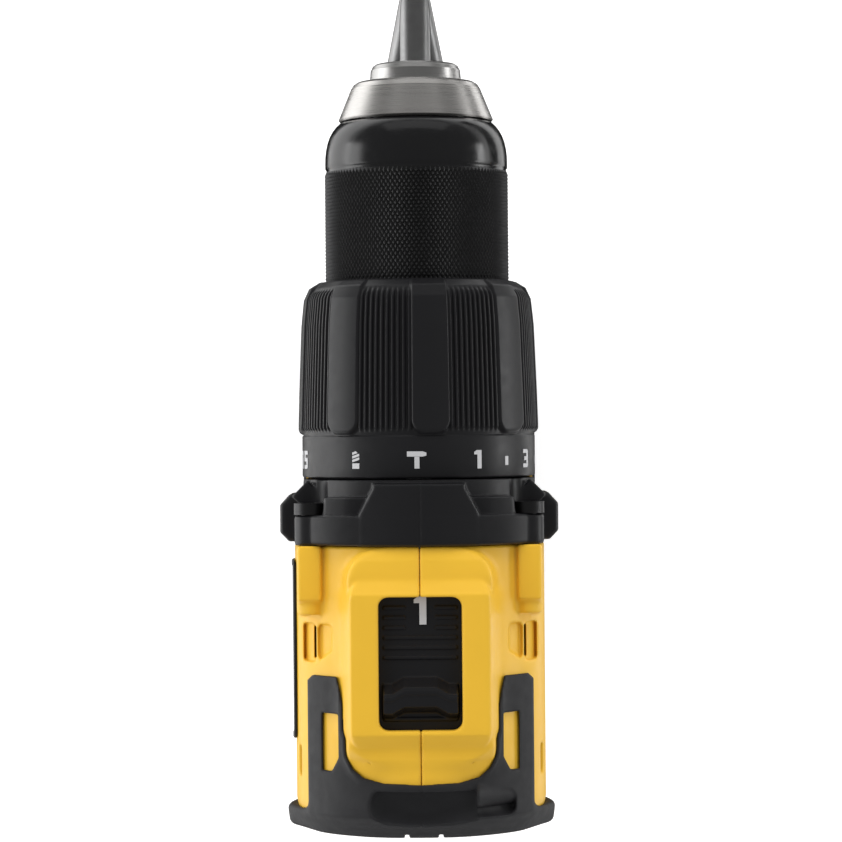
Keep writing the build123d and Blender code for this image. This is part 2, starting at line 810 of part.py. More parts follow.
def hump():
    """The raised cover over the speed selector."""
    outline = [(-31.2, AXIS_Z + 10), (-31.2, AXIS_Z + 27.8), (-32.6, AXIS_Z + 29.4)]
    outline += [(-37.0, TOP_Z - 0.3), (-39.5, TOP_Z), (-72.0, TOP_Z), (-75.0, TOP_Z - 2.0)]
    outline += [(-82.8, TOP_Z - 4.4), (-82.8, AXIS_Z + 10)]
    with BuildPart() as cover:
        add(side_profile(outline, HUMP_HALF))
        fillet(cover.edges().filter_by(Axis.X).group_by(Axis.Z)[-1], 2.5)
    return cover.part


def saddle(radius, half_width):
    """The back of the head's top from a radius up, where the bumper's rubber is thickest."""
    low, high = AXIS_Z + 10, AXIS_Z + 40
    return within(ring(-92, -83, SADDLE_R, radius), -92, -83, -half_width, half_width, low, high)


def head_outside():
    """The motor barrel with its hump, the bumper's saddle and the four screw bosses behind the
    gear case."""
    with BuildPart() as head:
        add(
            turned(
                (BARREL_BACK_X, 0),
                (BARREL_BACK_X, 22.0),
                (-86.0, 27.8),
                (-83.0, BARREL_R),
                (CASE_BACK_X, BARREL_R),
                (CASE_BACK_X, 0),
            )
        )
        add(hump())
        add(saddle(40.0, SADDLE_HALF), mode=Mode.SUBTRACT)
        for y, z in CASE_SCREWS:
            add(rod(-46.0, CASE_BACK_X, 4.1, y, z))
    return head.part


def foot():
    """The foot that the battery slides under."""
    with BuildPart() as base:
        with BuildSketch(Plane.XY.offset(FOOT_BOTTOM_Z)):
            with Locations(((FOOT_X[0] + FOOT_X[1]) / 2, 0)):
                RectangleRounded(FOOT_X[1] - FOOT_X[0], 2 * FOOT_HALF, 9.0)
        extrude(amount=FOOT_TOP_Z - FOOT_BOTTOM_Z)
        fillet(base.edges().group_by(Axis.Z)[-1], 5.0)
    return base.part


def both_sides(piece):
    """A piece and its mirror image across the drill."""
    return [piece, piece.mirror(Plane.XZ)]


def housing():
    """Both halves of the clamshell in one: head, grip and foot, hollow, with every opening."""
    inner_r = BARREL_R - WALL
    with BuildPart() as shell:
        add(head_outside())
        add(within(grip_loft(0.0), -100, CASE_BACK_X, -40, 40, 50, 155))
        add(foot())
        motor_space = turned(
            (-88.6, 0),
            (-88.6, 18.6),
            (-87.0, 21.2),
            (-82.0, 21.2),
            (-80.6, inner_r),
            (-33.0, inner_r),
            (-33.0, 0),
        )
        add(motor_space, mode=Mode.SUBTRACT)
        add(rod(-33.5, CASE_BACK_X + 1, SPIGOT_R), mode=Mode.SUBTRACT)
        # rear bearing seat and the two rings that hold the stator
        add(ring(BARREL_BACK_X + 1, -82.6, 8.0, 10.5))
        for x in (-60.0, -46.0):
            add(ring(x, x + 1.8, 22.0, inner_r + 0.2))
        selector_top = AXIS_Z + PLATE_Z[1] + 0.4
        selector_space = block(-77.3, -33.2, -11.5, 11.5, AXIS_Z + 22.6, selector_top)
        add(selector_space, mode=Mode.SUBTRACT)
        add(link_slot(-34.0, CASE_BACK_X + 1, LINK_Z[1] + 0.5), mode=Mode.SUBTRACT)
        window = block(*WINDOW_X, -WINDOW_HALF, WINDOW_HALF, AXIS_Z + 24, TOP_Z + 1, 2.0)
        add(window, mode=Mode.SUBTRACT)
        grip_space = within(grip_loft(WALL), -90, -33.0, -30, 30, FOOT_SKIN_Z, 151.5)
        add(grip_space, mode=Mode.SUBTRACT)
        add(block(-66, 14, -25, 25, FOOT_SKIN_Z, FOOT_FLOOR_Z), mode=Mode.SUBTRACT)
        add(block(*CHANNEL_X, -LIP_HALF, LIP_HALF, 37, CHANNEL_TOP_Z), mode=Mode.SUBTRACT)
        wide = block(*CHANNEL_X, -CHANNEL_HALF, CHANNEL_HALF, LIP_TOP_Z, CHANNEL_TOP_Z)
        add(wide, mode=Mode.SUBTRACT)
        add(block(-65.2, -62, -12, 12, CHANNEL_TOP_Z - 1, FOOT_SKIN_Z + 1), mode=Mode.SUBTRACT)
        for y, z in CASE_SCREWS:
            add(rod(-43.0, CASE_BACK_X + 1, 2.0, y, z), mode=Mode.SUBTRACT)
        for x, z, reach in SHELL_SCREWS:
            add(crossbar(x, z, BOSS_R, -reach, reach))
        add(rod(-62.4, -37.0, 22.0), mode=Mode.SUBTRACT)
        add(rod(-81.0, -71.0, 21.2), mode=Mode.SUBTRACT)
        # openings for the trigger and the direction lever
        trigger_hole = block(-47.0, -26, -8.9, 8.9, TRIGGER_Z[0] - 0.4, TRIGGER_Z[1] + 0.4)
        add(trigger_hole, mode=Mode.SUBTRACT)
        lever_hole = block(
            LEVER_X[0] - 0.3, LEVER_X[1] + 0.3, -30, 30, LEVER_Z[0] - 0.3, LEVER_Z[1] + 0.3
        )
        add(lever_hole, mode=Mode.SUBTRACT)
        # pockets with an inlet slit beside the hump, and outlets round the fan
        for y in (21.2, 24.8):
            pocket = within(ring(-55.6, -47.2, 27.0, 32.0), -56, -47, y - 1.5, y + 1.5, AXIS_Z, 210)
            add(both_sides(pocket), mode=Mode.SUBTRACT)
        inlet = block(-55.0, -47.6, 23.3, 24.0, AXIS_Z, AXIS_Z + 30)
        add(both_sides(inlet), mode=Mode.SUBTRACT)
        for z in (-7.5, -2.5, 2.5, 7.5):
            outlet = block(-82.0, -75.2, 20.0, 30.0, AXIS_Z + z - 1.2, AXIS_Z + z + 1.2)
            add(both_sides(outlet), mode=Mode.SUBTRACT)
        with BuildSketch(LAMP_PLANE):
            RectangleRounded(11.0, 15.0, 2.0)
        extrude(amount=12, mode=Mode.SUBTRACT)
        hook_hole = crossbar(*HOOK_HOLE, HOOK_HOLE_R, FOOT_HALF - HOOK_HOLE_DEPTH, FOOT_HALF + 1)
        add(both_sides(hook_hole), mode=Mode.SUBTRACT)
    return shell.part


def housing_half(shell, side):
    """One half of the clamshell: the left takes the screws' threads, the right their heads."""
    low, high = (0, 40) if side > 0 else (-40, 0)
    with BuildPart() as half:
        add(shell)
        add(block(-100, 100, low, high, 0, 210), mode=Mode.INTERSECT)
        for x, z, _ in SHELL_SCREWS:
            if side > 0:
                add(crossbar(x, z, 1.5, -1, 11.0), mode=Mode.SUBTRACT)
            else:
                add(crossbar(x, z, 1.7, -20, 1), mode=Mode.SUBTRACT)
                add(crossbar(x, z, 3.0, -40, -9.5), mode=Mode.SUBTRACT)
    return half.part


def case_screws():
    """The clamshell's seven screws across the drill and the gear case's four along it."""
    with BuildPart() as screws:
        for x, z, _ in SHELL_SCREWS:
            add(crossbar(x, z, 1.5, -9.5, 10.5))
            add(crossbar(x, z, 2.8, -11.7, -9.5))
        for y, z in CASE_SCREWS:
            add(cap_screw(-22.6, -41.5, y, z))
    return screws.part


def rear_bumper():
    """Rubber cap round the back of the barrel, with two arms forward beside the hump."""
    rim = [(0, 19.8), (8.5, 19.8), (16.8, 16.6), (22.3, 13.3), (25.0, 8.4), (27.6, 3.4), (30.6, 0)]
    rim += [(28.6, -6.0), (26.0, -13.0), (20.0, -21.0), (11.0, -26.0), (0, -27.5)]
    front = [(0, 25.4), (9.0, 25.4), (17.0, 23.4), (22.8, 18.4), (27.2, 11.6), (29.8, 5.0), (31.0, 0)]
    front += [(30.2, -6.0), (27.6, -14.0), (21.6, -22.0), (11.8, -27.6), (0, -29.4)]
    arms = ring(-88.0, -58.7, BARREL_R - 0.5, BARREL_R + 0.9)
    with BuildPart() as cap:
        for x, points in ((TAIL_X, rim), (-88.0, front)):
            with BuildSketch(across(x)):
                with BuildLine():
                    Polyline(*points, *[(-y, z) for y, z in reversed(points[1:-1])], close=True)
                make_face()
        loft(ruled=True)
        for side in ((17.2, 25.8), (-25.8, -17.2)):
            add(within(arms, -88.0, -58.7, *side, AXIS_Z + 8, AXIS_Z + 30))
        add(saddle(BARREL_R + 0.4, SADDLE_HALF))
        for side in ((18.0, 21.6), (-21.6, -18.0)):
            add(block(-79.8, -67.4, *side, AXIS_Z + 8, AXIS_Z + 30), mode=Mode.SUBTRACT)
        add(crossbar(-87.6, AXIS_Z + 27.4, 5.0, -11.5, 12.0), mode=Mode.SUBTRACT)
        add(head_outside(), mode=Mode.SUBTRACT)
    return cap.part


def grip_rubber():
    """Soft skin over the back and sides of the grip."""
    thick = 1.1
    front_x, bottom_z, top_z = -44.0, 64.0, 136.0
    with BuildPart() as skin:
        add(within(grip_loft(-thick), -95, front_x, -30, 30, bottom_z, top_z))
        add(grip_loft(0.0), mode=Mode.SUBTRACT)
        for x, z, _ in SHELL_SCREWS[2:5]:
            add(crossbar(x, z, 3.3, -30, 0), mode=Mode.SUBTRACT)
    return skin.part


def badge():
    """Plain raised strip along the left side of the barrel."""
    with BuildPart() as strip:
        add(block(-74.0, -33.2, 26.0, BARREL_R + 0.7, AXIS_Z - 5.5, AXIS_Z + 5.5))
        add(head_outside(), mode=Mode.SUBTRACT)
    return strip.part


# ---------------------------------------------------------------- controls
SWITCH_X = (-61.0, -49.0)


def trigger():
    """Finger trigger, hollow behind for the switch's plunger."""
    low, high = TRIGGER_Z
    outline = [(-40.8, low), (-24.6, low), (-21.6, low + 1.6), (-22.8, low + 8.0)]
    outline += [(-22.6, low + 14.0), (-21.2, low + 20.0), (-19.2, low + 24.4), (-20.6, high)]
    outline += [(-40.8, high)]
    with BuildPart() as lever:
        add(side_profile(outline, TRIGGER_HALF))
        add(rod(-40.9, -31.0, 3.4, 0, 125.0 - AXIS_Z), mode=Mode.SUBTRACT)
    return lever.part


def trigger_switch():
    """Variable-speed switch module with its plunger."""
    with BuildPart() as module:
        add(block(*SWITCH_X, -10.0, 10.0, 113.0, 138.0))
        add(rod(SWITCH_X[1], -39.2, 3.0, 0, 125.0 - AXIS_Z))
        for y in (-6.0, 0.0, 6.0):
            add(block(-59.6, -57.6, y - 1.4, y + 1.4, 109.4, 113.0))
    return module.part


def direction_lever():
    """Forward and reverse lever, a bar right through the grip."""
    end = 17.8
    with BuildPart() as bar:
        add(block(*LEVER_X, -end, end, *LEVER_Z))
        fillet(bar.edges().filter_by(Axis.X).group_by(Axis.Y)[0], 0.8)
        fillet(bar.edges().filter_by(Axis.X).group_by(Axis.Y)[-1], 0.8)
    return bar.part


def led_light():
    """Clear lens of the work lamp in the foot."""
    with BuildPart() as lens:
        with BuildSketch(LAMP_PLANE):
            RectangleRounded(10.9, 14.9, 2.0)
        extrude(amount=1.8)
    return lens.part


BLADES_Y = (-9.0, -3.0, 3.0, 9.0)


def terminal_block():
    """Connector at the back of the foot's channel, its blades, and the motor's control board."""
    with BuildPart() as connector:
        add(block(-70.8, -62.2, -13.8, 13.8, 44.0, 50.2))
        add(block(-65.0, -62.4, -11.6, 11.6, 50.2, 53.4))
        add(block(-65.0, 3.0, -15.6, 15.6, 53.4, 55.0))
        for y in BLADES_Y:
            add(block(-62.2, -48.0, y - 0.4, y + 0.4, 44.5, 49.0))
    return connector.part


# ---------------------------------------------------------------- battery
RAIL_X = (-61.4, 26.0)
LATCH_POCKET = (23.6, 34.0, -11.6, 11.6, 20.2, 39.0)
CELL_R, CELL_LENGTH, CELL_BACK_X = 9.2, 65.0, -52.0
CELL_STEP = 18.8
CELL_LOW_Z, CELL_HIGH_Z = 11.4, 27.4


def pack_block(z_low, z_high, inset):
    """The battery's outline between two heights, set in by inset."""
    middle = (PACK_BACK_X + PACK_FRONT_X) / 2
    with BuildPart() as body:
        with BuildSketch(Plane.XY.offset(z_low)):
            with Locations((middle, 0)):
                length = PACK_FRONT_X - PACK_BACK_X - 2 * inset
                RectangleRounded(length, 2 * (HALF_WIDTH - inset), 9.0 - inset)
        extrude(amount=z_high - z_low)
    return body.part


def battery_bottom_shell():
    """Lower tray of the battery."""
    with BuildPart() as tray:
        add(pack_block(0.0, PACK_SPLIT_Z, 0.0))
        fillet(tray.edges().group_by(Axis.Z)[0], 2.5)
        add(pack_block(2.0, PACK_SPLIT_Z, 2.4), mode=Mode.SUBTRACT)
    return tray.part


def battery_top_shell():
    """Upper half of the battery with the T-rail, the contact slots and the latch's pocket."""
    neck, head = 17.2, 21.5
    with BuildPart() as lid:
        add(pack_block(PACK_SPLIT_Z, PACK_TOP_Z, 0.0))
        chamfer(lid.edges().group_by(Axis.Z)[-1], 1.2)
        add(pack_block(PACK_SPLIT_Z, 36.8, 2.4), mode=Mode.SUBTRACT)
        add(block(*RAIL_X, -neck, neck, 36.8, 43.0))
        add(block(*RAIL_X, -head, head, 42.8, 49.9))
        add(block(-59.4, 18.0, -14.8, 14.8, 36.0, 47.9), mode=Mode.SUBTRACT)
        add(block(21.6, 32.0, -13.6, 13.6, PACK_SPLIT_Z, 37.4))
        add(block(*LATCH_POCKET), mode=Mode.SUBTRACT)
        for y in BLADES_Y:
            add(block(-62.0, -46.0, y - 1.2, y + 1.2, 43.6, 51.0), mode=Mode.SUBTRACT)
    return lid.part


def battery_cells():
    """Five round cells, three below and two above."""
    low = [(i * CELL_STEP, CELL_LOW_Z) for i in (-1, 0, 1)]
    high = [(i * CELL_STEP, CELL_HIGH_Z) for i in (-0.5, 0.5)]
    with BuildPart() as cells:
        for y, z in low + high:
            add(rod(CELL_BACK_X, CELL_BACK_X + CELL_LENGTH, CELL_R, y, z - AXIS_Z))
    return cells.part


def battery_board():
    """Protection board with a pair of contact clips for each blade."""
    with BuildPart() as board:
        add(block(-58.8, 16.0, -14.4, 14.4, 38.4, 40.0))
        for y in BLADES_Y:
            for side in (-1, 1):
                clip_y = y + 0.92 * side
                add(block(-57.0, -50.0, clip_y - 0.15, clip_y + 0.15, 40.0, 48.6))
    return board.part


def battery_latch():
    """Release button on the battery's front with the catch on top."""
    with BuildPart() as latch:
        add(block(24.2, 31.6, -11.0, 11.0, 24.0, 37.0))
        add(block(31.6, 34.4, -11.0, 11.0, 24.0, 37.0))
        add(block(26.8, 29.8, -6.0, 6.0, 37.0, 40.6))
        for z in (27.0, 29.5, 32.0):
            add(block(34.4, 35.0, -8.0, 8.0, z - 0.5, z + 0.5))
    return latch.part


def main():
    os.makedirs("parts", exist_ok=True)
    keep(chuck_body(), "chuck_body")
    keep(chuck_nose_cone(), "chuck_nose_cone")
    keep(chuck_sleeve(), "chuck_sleeve")
    keep(jaw_nut(), "jaw_nut")
    keep(chuck_thrust_bearing(), "chuck_thrust_bearing")
    keep(chuck_screw(), "chuck_screw")
    for number, piece in enumerate(about_head(jaw(), THIRDS), 1):
        keep(piece, f"jaw_{number}")
    keep(spindle(), "spindle")
    keep(ball_bearing(*BEARING_X, SPINDLE_R + RUNNING, BORE_R), "spindle_bearing")
    keep(ring(1.4, 6.6, SPINDLE_R + RUNNING, BORE_R), "spindle_bush")
    keep(hammer_cam(7.4, 10.0, 6.6, BORE_R - 0.1, 10.0), "hammer_cam_fixed")
    keep(hammer_cam(10.7, 14.0, SPINDLE_R, 9.9, 10.7), "hammer_cam_rotating")
    keep(gear_case(), "gear_case")
    keep(clutch_collar(), "clutch_collar")
    keep(clutch_nut(), "clutch_nut")
    keep(clutch_spring(), "clutch_spring")
    keep(clutch_pins(), "clutch_pins")
    keep(ring_gear(1, CAVITY_R - 0.1), "ring_gear_1")
    keep(shifting_ring_gear(), "ring_gear_2")
    keep(clutch_ring_gear(), "ring_gear_3")
    for stage in STAGES:
        for number, angle in enumerate(THIRDS, 1):
            keep(planet(stage, angle), f"planet_{stage}_{number}")
    keep(carrier(1, (-21.8, -19.4), 16.4, -27.4), "carrier_1")
    keep(carrier(2, (-12.6, -10.6), 16.4, -18.6), "carrier_2")
    keep(output_carrier(), "carrier_3")
    keep(gear(-28.2, -22.3, 12, 0.75, SHAFT_R), "motor_pinion")
    keep(gearbox_rear_plate(), "gearbox_rear_plate")
    keep(shift_link(), "shift_link")
    keep(speed_selector(), "speed_selector")
    keep(stator(), "stator")
    keep(stator_windings(), "stator_windings")
    keep(rotor(), "rotor")
    keep(motor_fan(), "motor_fan")
    keep(motor_bearings(), "motor_bearings")
    keep(sensor_board(), "sensor_board")
    shell = housing()
    keep(housing_half(shell, 1), "housing_left")
    keep(housing_half(shell, -1), "housing_right")
    keep(case_screws(), "case_screws")
    keep(rear_bumper(), "rear_bumper")
    keep(grip_rubber(), "grip_rubber")
    keep(badge(), "badge")
    keep(trigger(), "trigger")
    keep(trigger_switch(), "trigger_switch")
    keep(direction_lever(), "direction_lever")
    keep(led_light(), "led_light")
    keep(terminal_block(), "terminal_block")
    keep(battery_bottom_shell(), "battery_bottom_shell")
    keep(battery_top_shell(), "battery_top_shell")
    keep(battery_cells(), "battery_cells")
    keep(battery_board(), "battery_board")
    keep(battery_latch(), "battery_latch")


main()
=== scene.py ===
"""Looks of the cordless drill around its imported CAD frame.

Lengths below are in millimetres from the spindle's axis: x out of the chuck, y to the left, z up.
Shells with blended surfaces are signed distances on a grid, turned into meshes by surface nets."""

import json
import math

import bpy
import numpy as np
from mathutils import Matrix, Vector


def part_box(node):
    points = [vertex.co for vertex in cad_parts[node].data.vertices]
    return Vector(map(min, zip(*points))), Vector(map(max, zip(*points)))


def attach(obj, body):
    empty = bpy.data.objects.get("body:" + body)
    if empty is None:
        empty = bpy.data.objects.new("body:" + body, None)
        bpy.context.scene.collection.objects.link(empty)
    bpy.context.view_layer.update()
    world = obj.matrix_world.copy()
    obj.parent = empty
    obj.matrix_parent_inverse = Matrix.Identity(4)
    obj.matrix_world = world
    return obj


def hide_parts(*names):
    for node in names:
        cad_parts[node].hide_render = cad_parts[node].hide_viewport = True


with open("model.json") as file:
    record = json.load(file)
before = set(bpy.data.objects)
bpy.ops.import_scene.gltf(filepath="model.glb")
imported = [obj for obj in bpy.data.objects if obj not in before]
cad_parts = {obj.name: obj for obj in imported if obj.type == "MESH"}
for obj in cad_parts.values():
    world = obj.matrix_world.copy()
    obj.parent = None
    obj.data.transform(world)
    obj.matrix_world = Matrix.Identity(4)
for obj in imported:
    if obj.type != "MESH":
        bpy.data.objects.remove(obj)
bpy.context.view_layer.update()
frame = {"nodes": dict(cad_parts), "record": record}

MM = 0.001
NODES = frame["nodes"]
AXIS_Z = sum(corner.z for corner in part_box("spindle")) / 2 / MM


# ------------------------ meshes
def add_mesh(name, points, faces, material, body, smooth=True):
    """A new piece from points in millimetres about the axis, riding on a CAD body."""
    mesh = bpy.data.meshes.new(name)
    world = np.asarray(points, float) * MM
    world[:, 2] += AXIS_Z * MM
    faces = faces.tolist() if isinstance(faces, np.ndarray) else faces
    mesh.from_pydata(world.tolist(), [], faces)
    mesh.polygons.foreach_set("use_smooth", [smooth] * len(mesh.polygons))
    mesh.materials.append(material)
    mesh.update()
    piece = bpy.data.objects.new(name, mesh)
    bpy.context.scene.collection.objects.link(piece)
    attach(piece, body)
    return piece


def thin(piece, share):
    """Leaves out the faces that a flat or gently curved surface doesn't need."""
    decimate = piece.modifiers.new("thin", "DECIMATE")
    decimate.ratio = share


class Grid:
    """Sample points on three axes. Each axis is a run of (start, end, step) spans."""

    def __init__(self, x, y, z):
        self.axes = [spans(*axis) for axis in (x, y, z)]
        self.step = min(float(np.diff(axis).min()) for axis in self.axes)
        self.x, self.y, self.z = np.meshgrid(*self.axes, indexing="ij", sparse=True)
        self.r = np.sqrt(self.y**2 + self.z**2)


def spans(*runs):
    """One axis of a grid: spans of even steps, end to end."""
    pieces = [np.arange(low, high - step / 2, step) for low, high, step in runs]
    return np.concatenate(pieces + [[runs[-1][1]]]).astype(np.float32)


def unite(a, b, k=0.01):
    """Union with a fillet of about k."""
    h = np.clip(0.5 + 0.5 * (b - a) / k, 0, 1)
    return b + (a - b) * h - k * h * (1 - h)


def meet(a, b, k=0.01):
    """Intersection with a rounding of about k."""
    return -unite(-a, -b, k)


def cut(a, b, k=0.01):
    """a without b."""
    return meet(a, -b, k)


def stretch(low, high, value):
    """Distance to a slab between low and high."""
    return np.abs(value - (low + high) / 2) - (high - low) / 2


def joined(distances, r):
    """Distance to the corner where several slabs meet, rounded by r."""
    outside = sum(np.maximum(d + r, 0) ** 2 for d in distances) ** 0.5
    inside = distances[0]
    for d in distances[1:]:
        inside = np.maximum(inside, d)
    return np.minimum(inside + r, 0) + outside - r


def box(g, x, y, z, r=0.3):
    """A box between pairs of limits, with edges rounded by r."""
    return joined([stretch(*x, g.x), stretch(*y, g.y), stretch(*z, g.z)], r)


def bar(g, x, radius, y=0.0, z=0.0, r=0.3):
    """A round bar along x."""
    across = ((g.y - y) ** 2 + (g.z - z) ** 2) ** 0.5 - radius
    return joined([stretch(*x, g.x), across], r)


def cross_bar(g, x, z, radius, y, r=0.3):
    """A round bar along y."""
    across = ((g.x - x) ** 2 + (g.z - z) ** 2) ** 0.5 - radius
    return joined([stretch(*y, g.y), across], r)


def outline(u, v, points):
    """Distance to a closed polygon in the plane of u and v."""
    best, inside = None, None
    for (u0, v0), (u1, v1) in zip(points, points[1:] + points[:1]):
        du, dv = u1 - u0, v1 - v0
        along = np.clip(((u - u0) * du + (v - v0) * dv) / (du * du + dv * dv), 0, 1)
        apart = (u - u0 - along * du) ** 2 + (v - v0 - along * dv) ** 2
        best = apart if best is None else np.minimum(best, apart)
        turned = (u - u0) * dv - (v - v0) * du
        crosses = ((v0 > v) != (v1 > v)) & (turned < 0 if v1 > v0 else turned > 0)
        inside = crosses if inside is None else inside ^ crosses
    return np.sqrt(best) * np.where(inside, -1, 1)


def softened(points, times):
    """A closed outline with its corners cut over and over until they are round."""
    for _ in range(times):
        edges = list(zip(points, points[1:] + points[:1]))
        points = []
        for (a, b), (c, d) in edges:
            points.append((0.75 * a + 0.25 * c, 0.75 * b + 0.25 * d))
            points.append((0.25 * a + 0.75 * c, 0.25 * b + 0.75 * d))
    return points


def ramp(value, low, high):
    """0 below low, 1 above high and smooth between."""
    t = np.clip((value - low) / (high - low), 0, 1)
    return t * t * (3 - 2 * t)


def sample(field, axes, points):
    """Value of a grid between its points."""
    columns = [np.interp(points[:, i], axis, np.arange(len(axis))) for i, axis in enumerate(axes)]
    place = np.stack(columns, 1)
    base = np.clip(np.floor(place).astype(int), 0, np.array(field.shape) - 2)
    t = place - base
    value = 0
    for corner in np.ndindex(2, 2, 2):
        weight = np.prod(np.where(corner, t, 1 - t), axis=1)
        value = value + weight * field[tuple((base + corner).T)]
    return value


def surface(g, field):
    """Points and faces where the field is zero: one point in each cell that the surface passes."""
    field = np.broadcast_to(field, np.broadcast_shapes(g.x.shape, g.y.shape, g.z.shape))
    inside = field < 0
    cells = tuple(n - 1 for n in field.shape)
    count = sum(
        inside[tuple(slice(c, c + n) for c, n in zip(corner, cells))].astype(np.int8)
        for corner in np.ndindex(2, 2, 2)
    )
    crossed = np.argwhere((count > 0) & (count < 8))
    number = np.full(cells, -1, np.int32)
    number[tuple(crossed.T)] = np.arange(len(crossed))
    unit = np.eye(3, dtype=int)
    total, hits = np.zeros((len(crossed), 3)), np.zeros(len(crossed))
    faces = []
    for axis in range(3):
        u, v = unit[(axis + 1) % 3], unit[(axis + 2) % 3]
        for corner in (0 * u, u, v, u + v):
            start = field[tuple((crossed + corner).T)]
            end = field[tuple((crossed + corner + unit[axis]).T)]
            change = (start < 0) != (end < 0)
            t = np.where(change, start / np.where(change, start - end, 1), 0)
            total += change[:, None] * (corner + t[:, None] * unit[axis])
            hits += change
        here = tuple(slice(int(i != axis), n) for i, n in enumerate(cells))
        there = tuple(slice(s.start + (i == axis), s.stop + (i == axis)) for i, s in enumerate(here))
        first = np.array([s.start for s in here])
        sides = ((True, inside[here] & ~inside[there]), (False, ~inside[here] & inside[there]))
        for leaving, mask in sides:
            edges = np.argwhere(mask) + first
            ring = [number[tuple((edges - w).T)] for w in (0 * u, u, u + v, v)]
            faces.append(np.stack(ring if leaving else ring[::-1], 1))
    place = crossed + total / hits[:, None]
    columns = [np.interp(place[:, i], np.arange(len(axis)), axis) for i, axis in enumerate(g.axes)]
    points = np.stack(columns, 1)
    # two steps down the slope bring each point nearer to the surface
    nudge = 0.3 * g.step
    for _ in range(2):
        slope = []
        for n in np.eye(3):
            rise = sample(field, g.axes, points + nudge * n) - sample(field, g.axes, points - nudge * n)
            slope.append(rise / (2 * nudge))
        slope = np.stack(slope, 1)
        steep = np.maximum((slope**2).sum(1), 0.3)
        points = points - (sample(field, g.axes, points) / steep)[:, None] * slope
    return points, np.concatenate(faces)


def lathe(rings, tips=()):
    """Points and faces of a closed loop of rings about the axis. A ring is (x, radii), with one radius or
    one for each column. After a ring numbered in tips, split faces make every second point a peak."""
    columns = max(np.size(r) for _, r in rings)
    turn = np.arange(columns) * 2 * math.pi / columns
    points = [np.stack([x + 0 * turn, -r * np.sin(turn), r * np.cos(turn)], 1) for x, r in rings]
    faces = []
    for row in range(len(rings)):
        low, high = row * columns, (row + 1) % len(rings) * columns
        for i in range(columns):
            j = (i + 1) % columns
            a, b, c, d = low + i, low + j, high + j, high + i
            if row not in tips:
                faces.append((a, b, c, d))
            elif (i + row) % 2:
                faces += [(a, b, d), (b, c, d)]
            else:
                faces += [(a, b, c), (a, c, d)]
    return np.concatenate(points), faces


# ------------------------ finishes
class Finish:
    """A node material under construction."""

    def __init__(self, name, colour, roughness, metallic=0.0, **shader):
        self.material = bpy.data.materials.new(name)
        self.material.use_nodes = True
        self.tree = self.material.node_tree
        self.shader = self.tree.nodes["Principled BSDF"]
        self.colour = tuple(colour) + (1.0,) if len(colour) == 3 else tuple(colour)
        self.set("Roughness", roughness)
        self.set("Metallic", metallic)
        for socket, value in shader.items():
            self.set(socket.replace("_", " "), value)
        self.place = self.add("ShaderNodeTexCoord").outputs["Object"]

    def set(self, socket, value):
        if isinstance(value, bpy.types.NodeSocket):
            self.tree.links.new(value, self.shader.inputs[socket])
        else:
            self.shader.inputs[socket].default_value = value

    def add(self, kind, inputs=(), **settings):
        node = self.tree.nodes.new("ShaderNode" + kind.replace("ShaderNode", ""))
        for key, value in settings.items():
            setattr(node, key, value)
        for key, value in dict(inputs).items():
            if isinstance(value, bpy.types.NodeSocket):
                self.tree.links.new(value, node.inputs[key])
            else:
                node.inputs[key].default_value = value
        return node

    def sum(self, operation, a, b=0.0):
        return self.add("Math", {0: a, 1: b}, operation=operation).outputs[0]

    def noise(self, size_mm, detail=2.0, place=None):
        inputs = {"Vector": place or self.place, "Scale": 1 / (size_mm * MM), "Detail": detail}
        return self.add("TexNoise", inputs).outputs["Fac"]

    def spread(self, value, low, high):
        """A texture's value, whose middle is 0.5, brought to low and high."""
        inputs = {"Value": value, "From Min": 0.3, "From Max": 0.7, "To Min": low, "To Max": high}
        return self.add("MapRange", inputs).outputs["Result"]

    def tint(self, value, change):
        """The base colour, lighter and darker by change."""
        factor = self.spread(value, 1 - change, 1 + change)
        mixed = self.add("VectorMath", {0: self.colour[:3], "Scale": factor}, operation="SCALE")
        self.set("Base Color", mixed.outputs["Vector"])

    def bump(self, value, height_mm, strength=1.0):
        inputs = {"Height": value, "Distance": height_mm * MM, "Strength": strength}
        self.set("Normal", self.add("Bump", inputs).outputs["Normal"])


def moulded(name, colour, roughness, grain=0.012, grain_size=0.28, change=0.03, **shader):
    """A moulded plastic or rubber with a fine spark-eroded grain."""
    f = Finish(name, colour, roughness, **shader)
    f.tint(f.noise(9.0, 4.0), change)
    f.set("Roughness", f.spread(f.noise(2.5, 5.0), roughness - 0.05, roughness + 0.05))
    f.bump(f.noise(grain_size, 3.0), grain)
    return f.material


def turned(name, colour, roughness, groove=0.004, change=0.06, **shader):
    """A metal turned on a lathe, with fine rings about the drill's axis."""
    f = Finish(name, colour, roughness, metallic=1.0, **shader)
    parts = f.add("SeparateXYZ", {0: f.place})
    up = f.sum("SUBTRACT", parts.outputs["Z"], AXIS_Z * MM)
    flat = f.add("CombineXYZ", {"X": parts.outputs["Y"], "Y": up})
    radius = f.add("VectorMath", {0: flat.outputs[0]}, operation="LENGTH").outputs["Value"]
    rings = f.add("CombineXYZ", {"X": parts.outputs["X"], "Y": radius}).outputs[0]
    fine = f.noise(0.16, 2.0, rings)
    f.tint(f.sum("ADD", f.sum("MULTIPLY", fine, 0.6), f.sum("MULTIPLY", f.noise(6.0, 3.0), 0.4)), change)
    f.set("Roughness", f.spread(fine, roughness - 0.06, roughness + 0.08))
    f.bump(fine, groove)
    return f.material


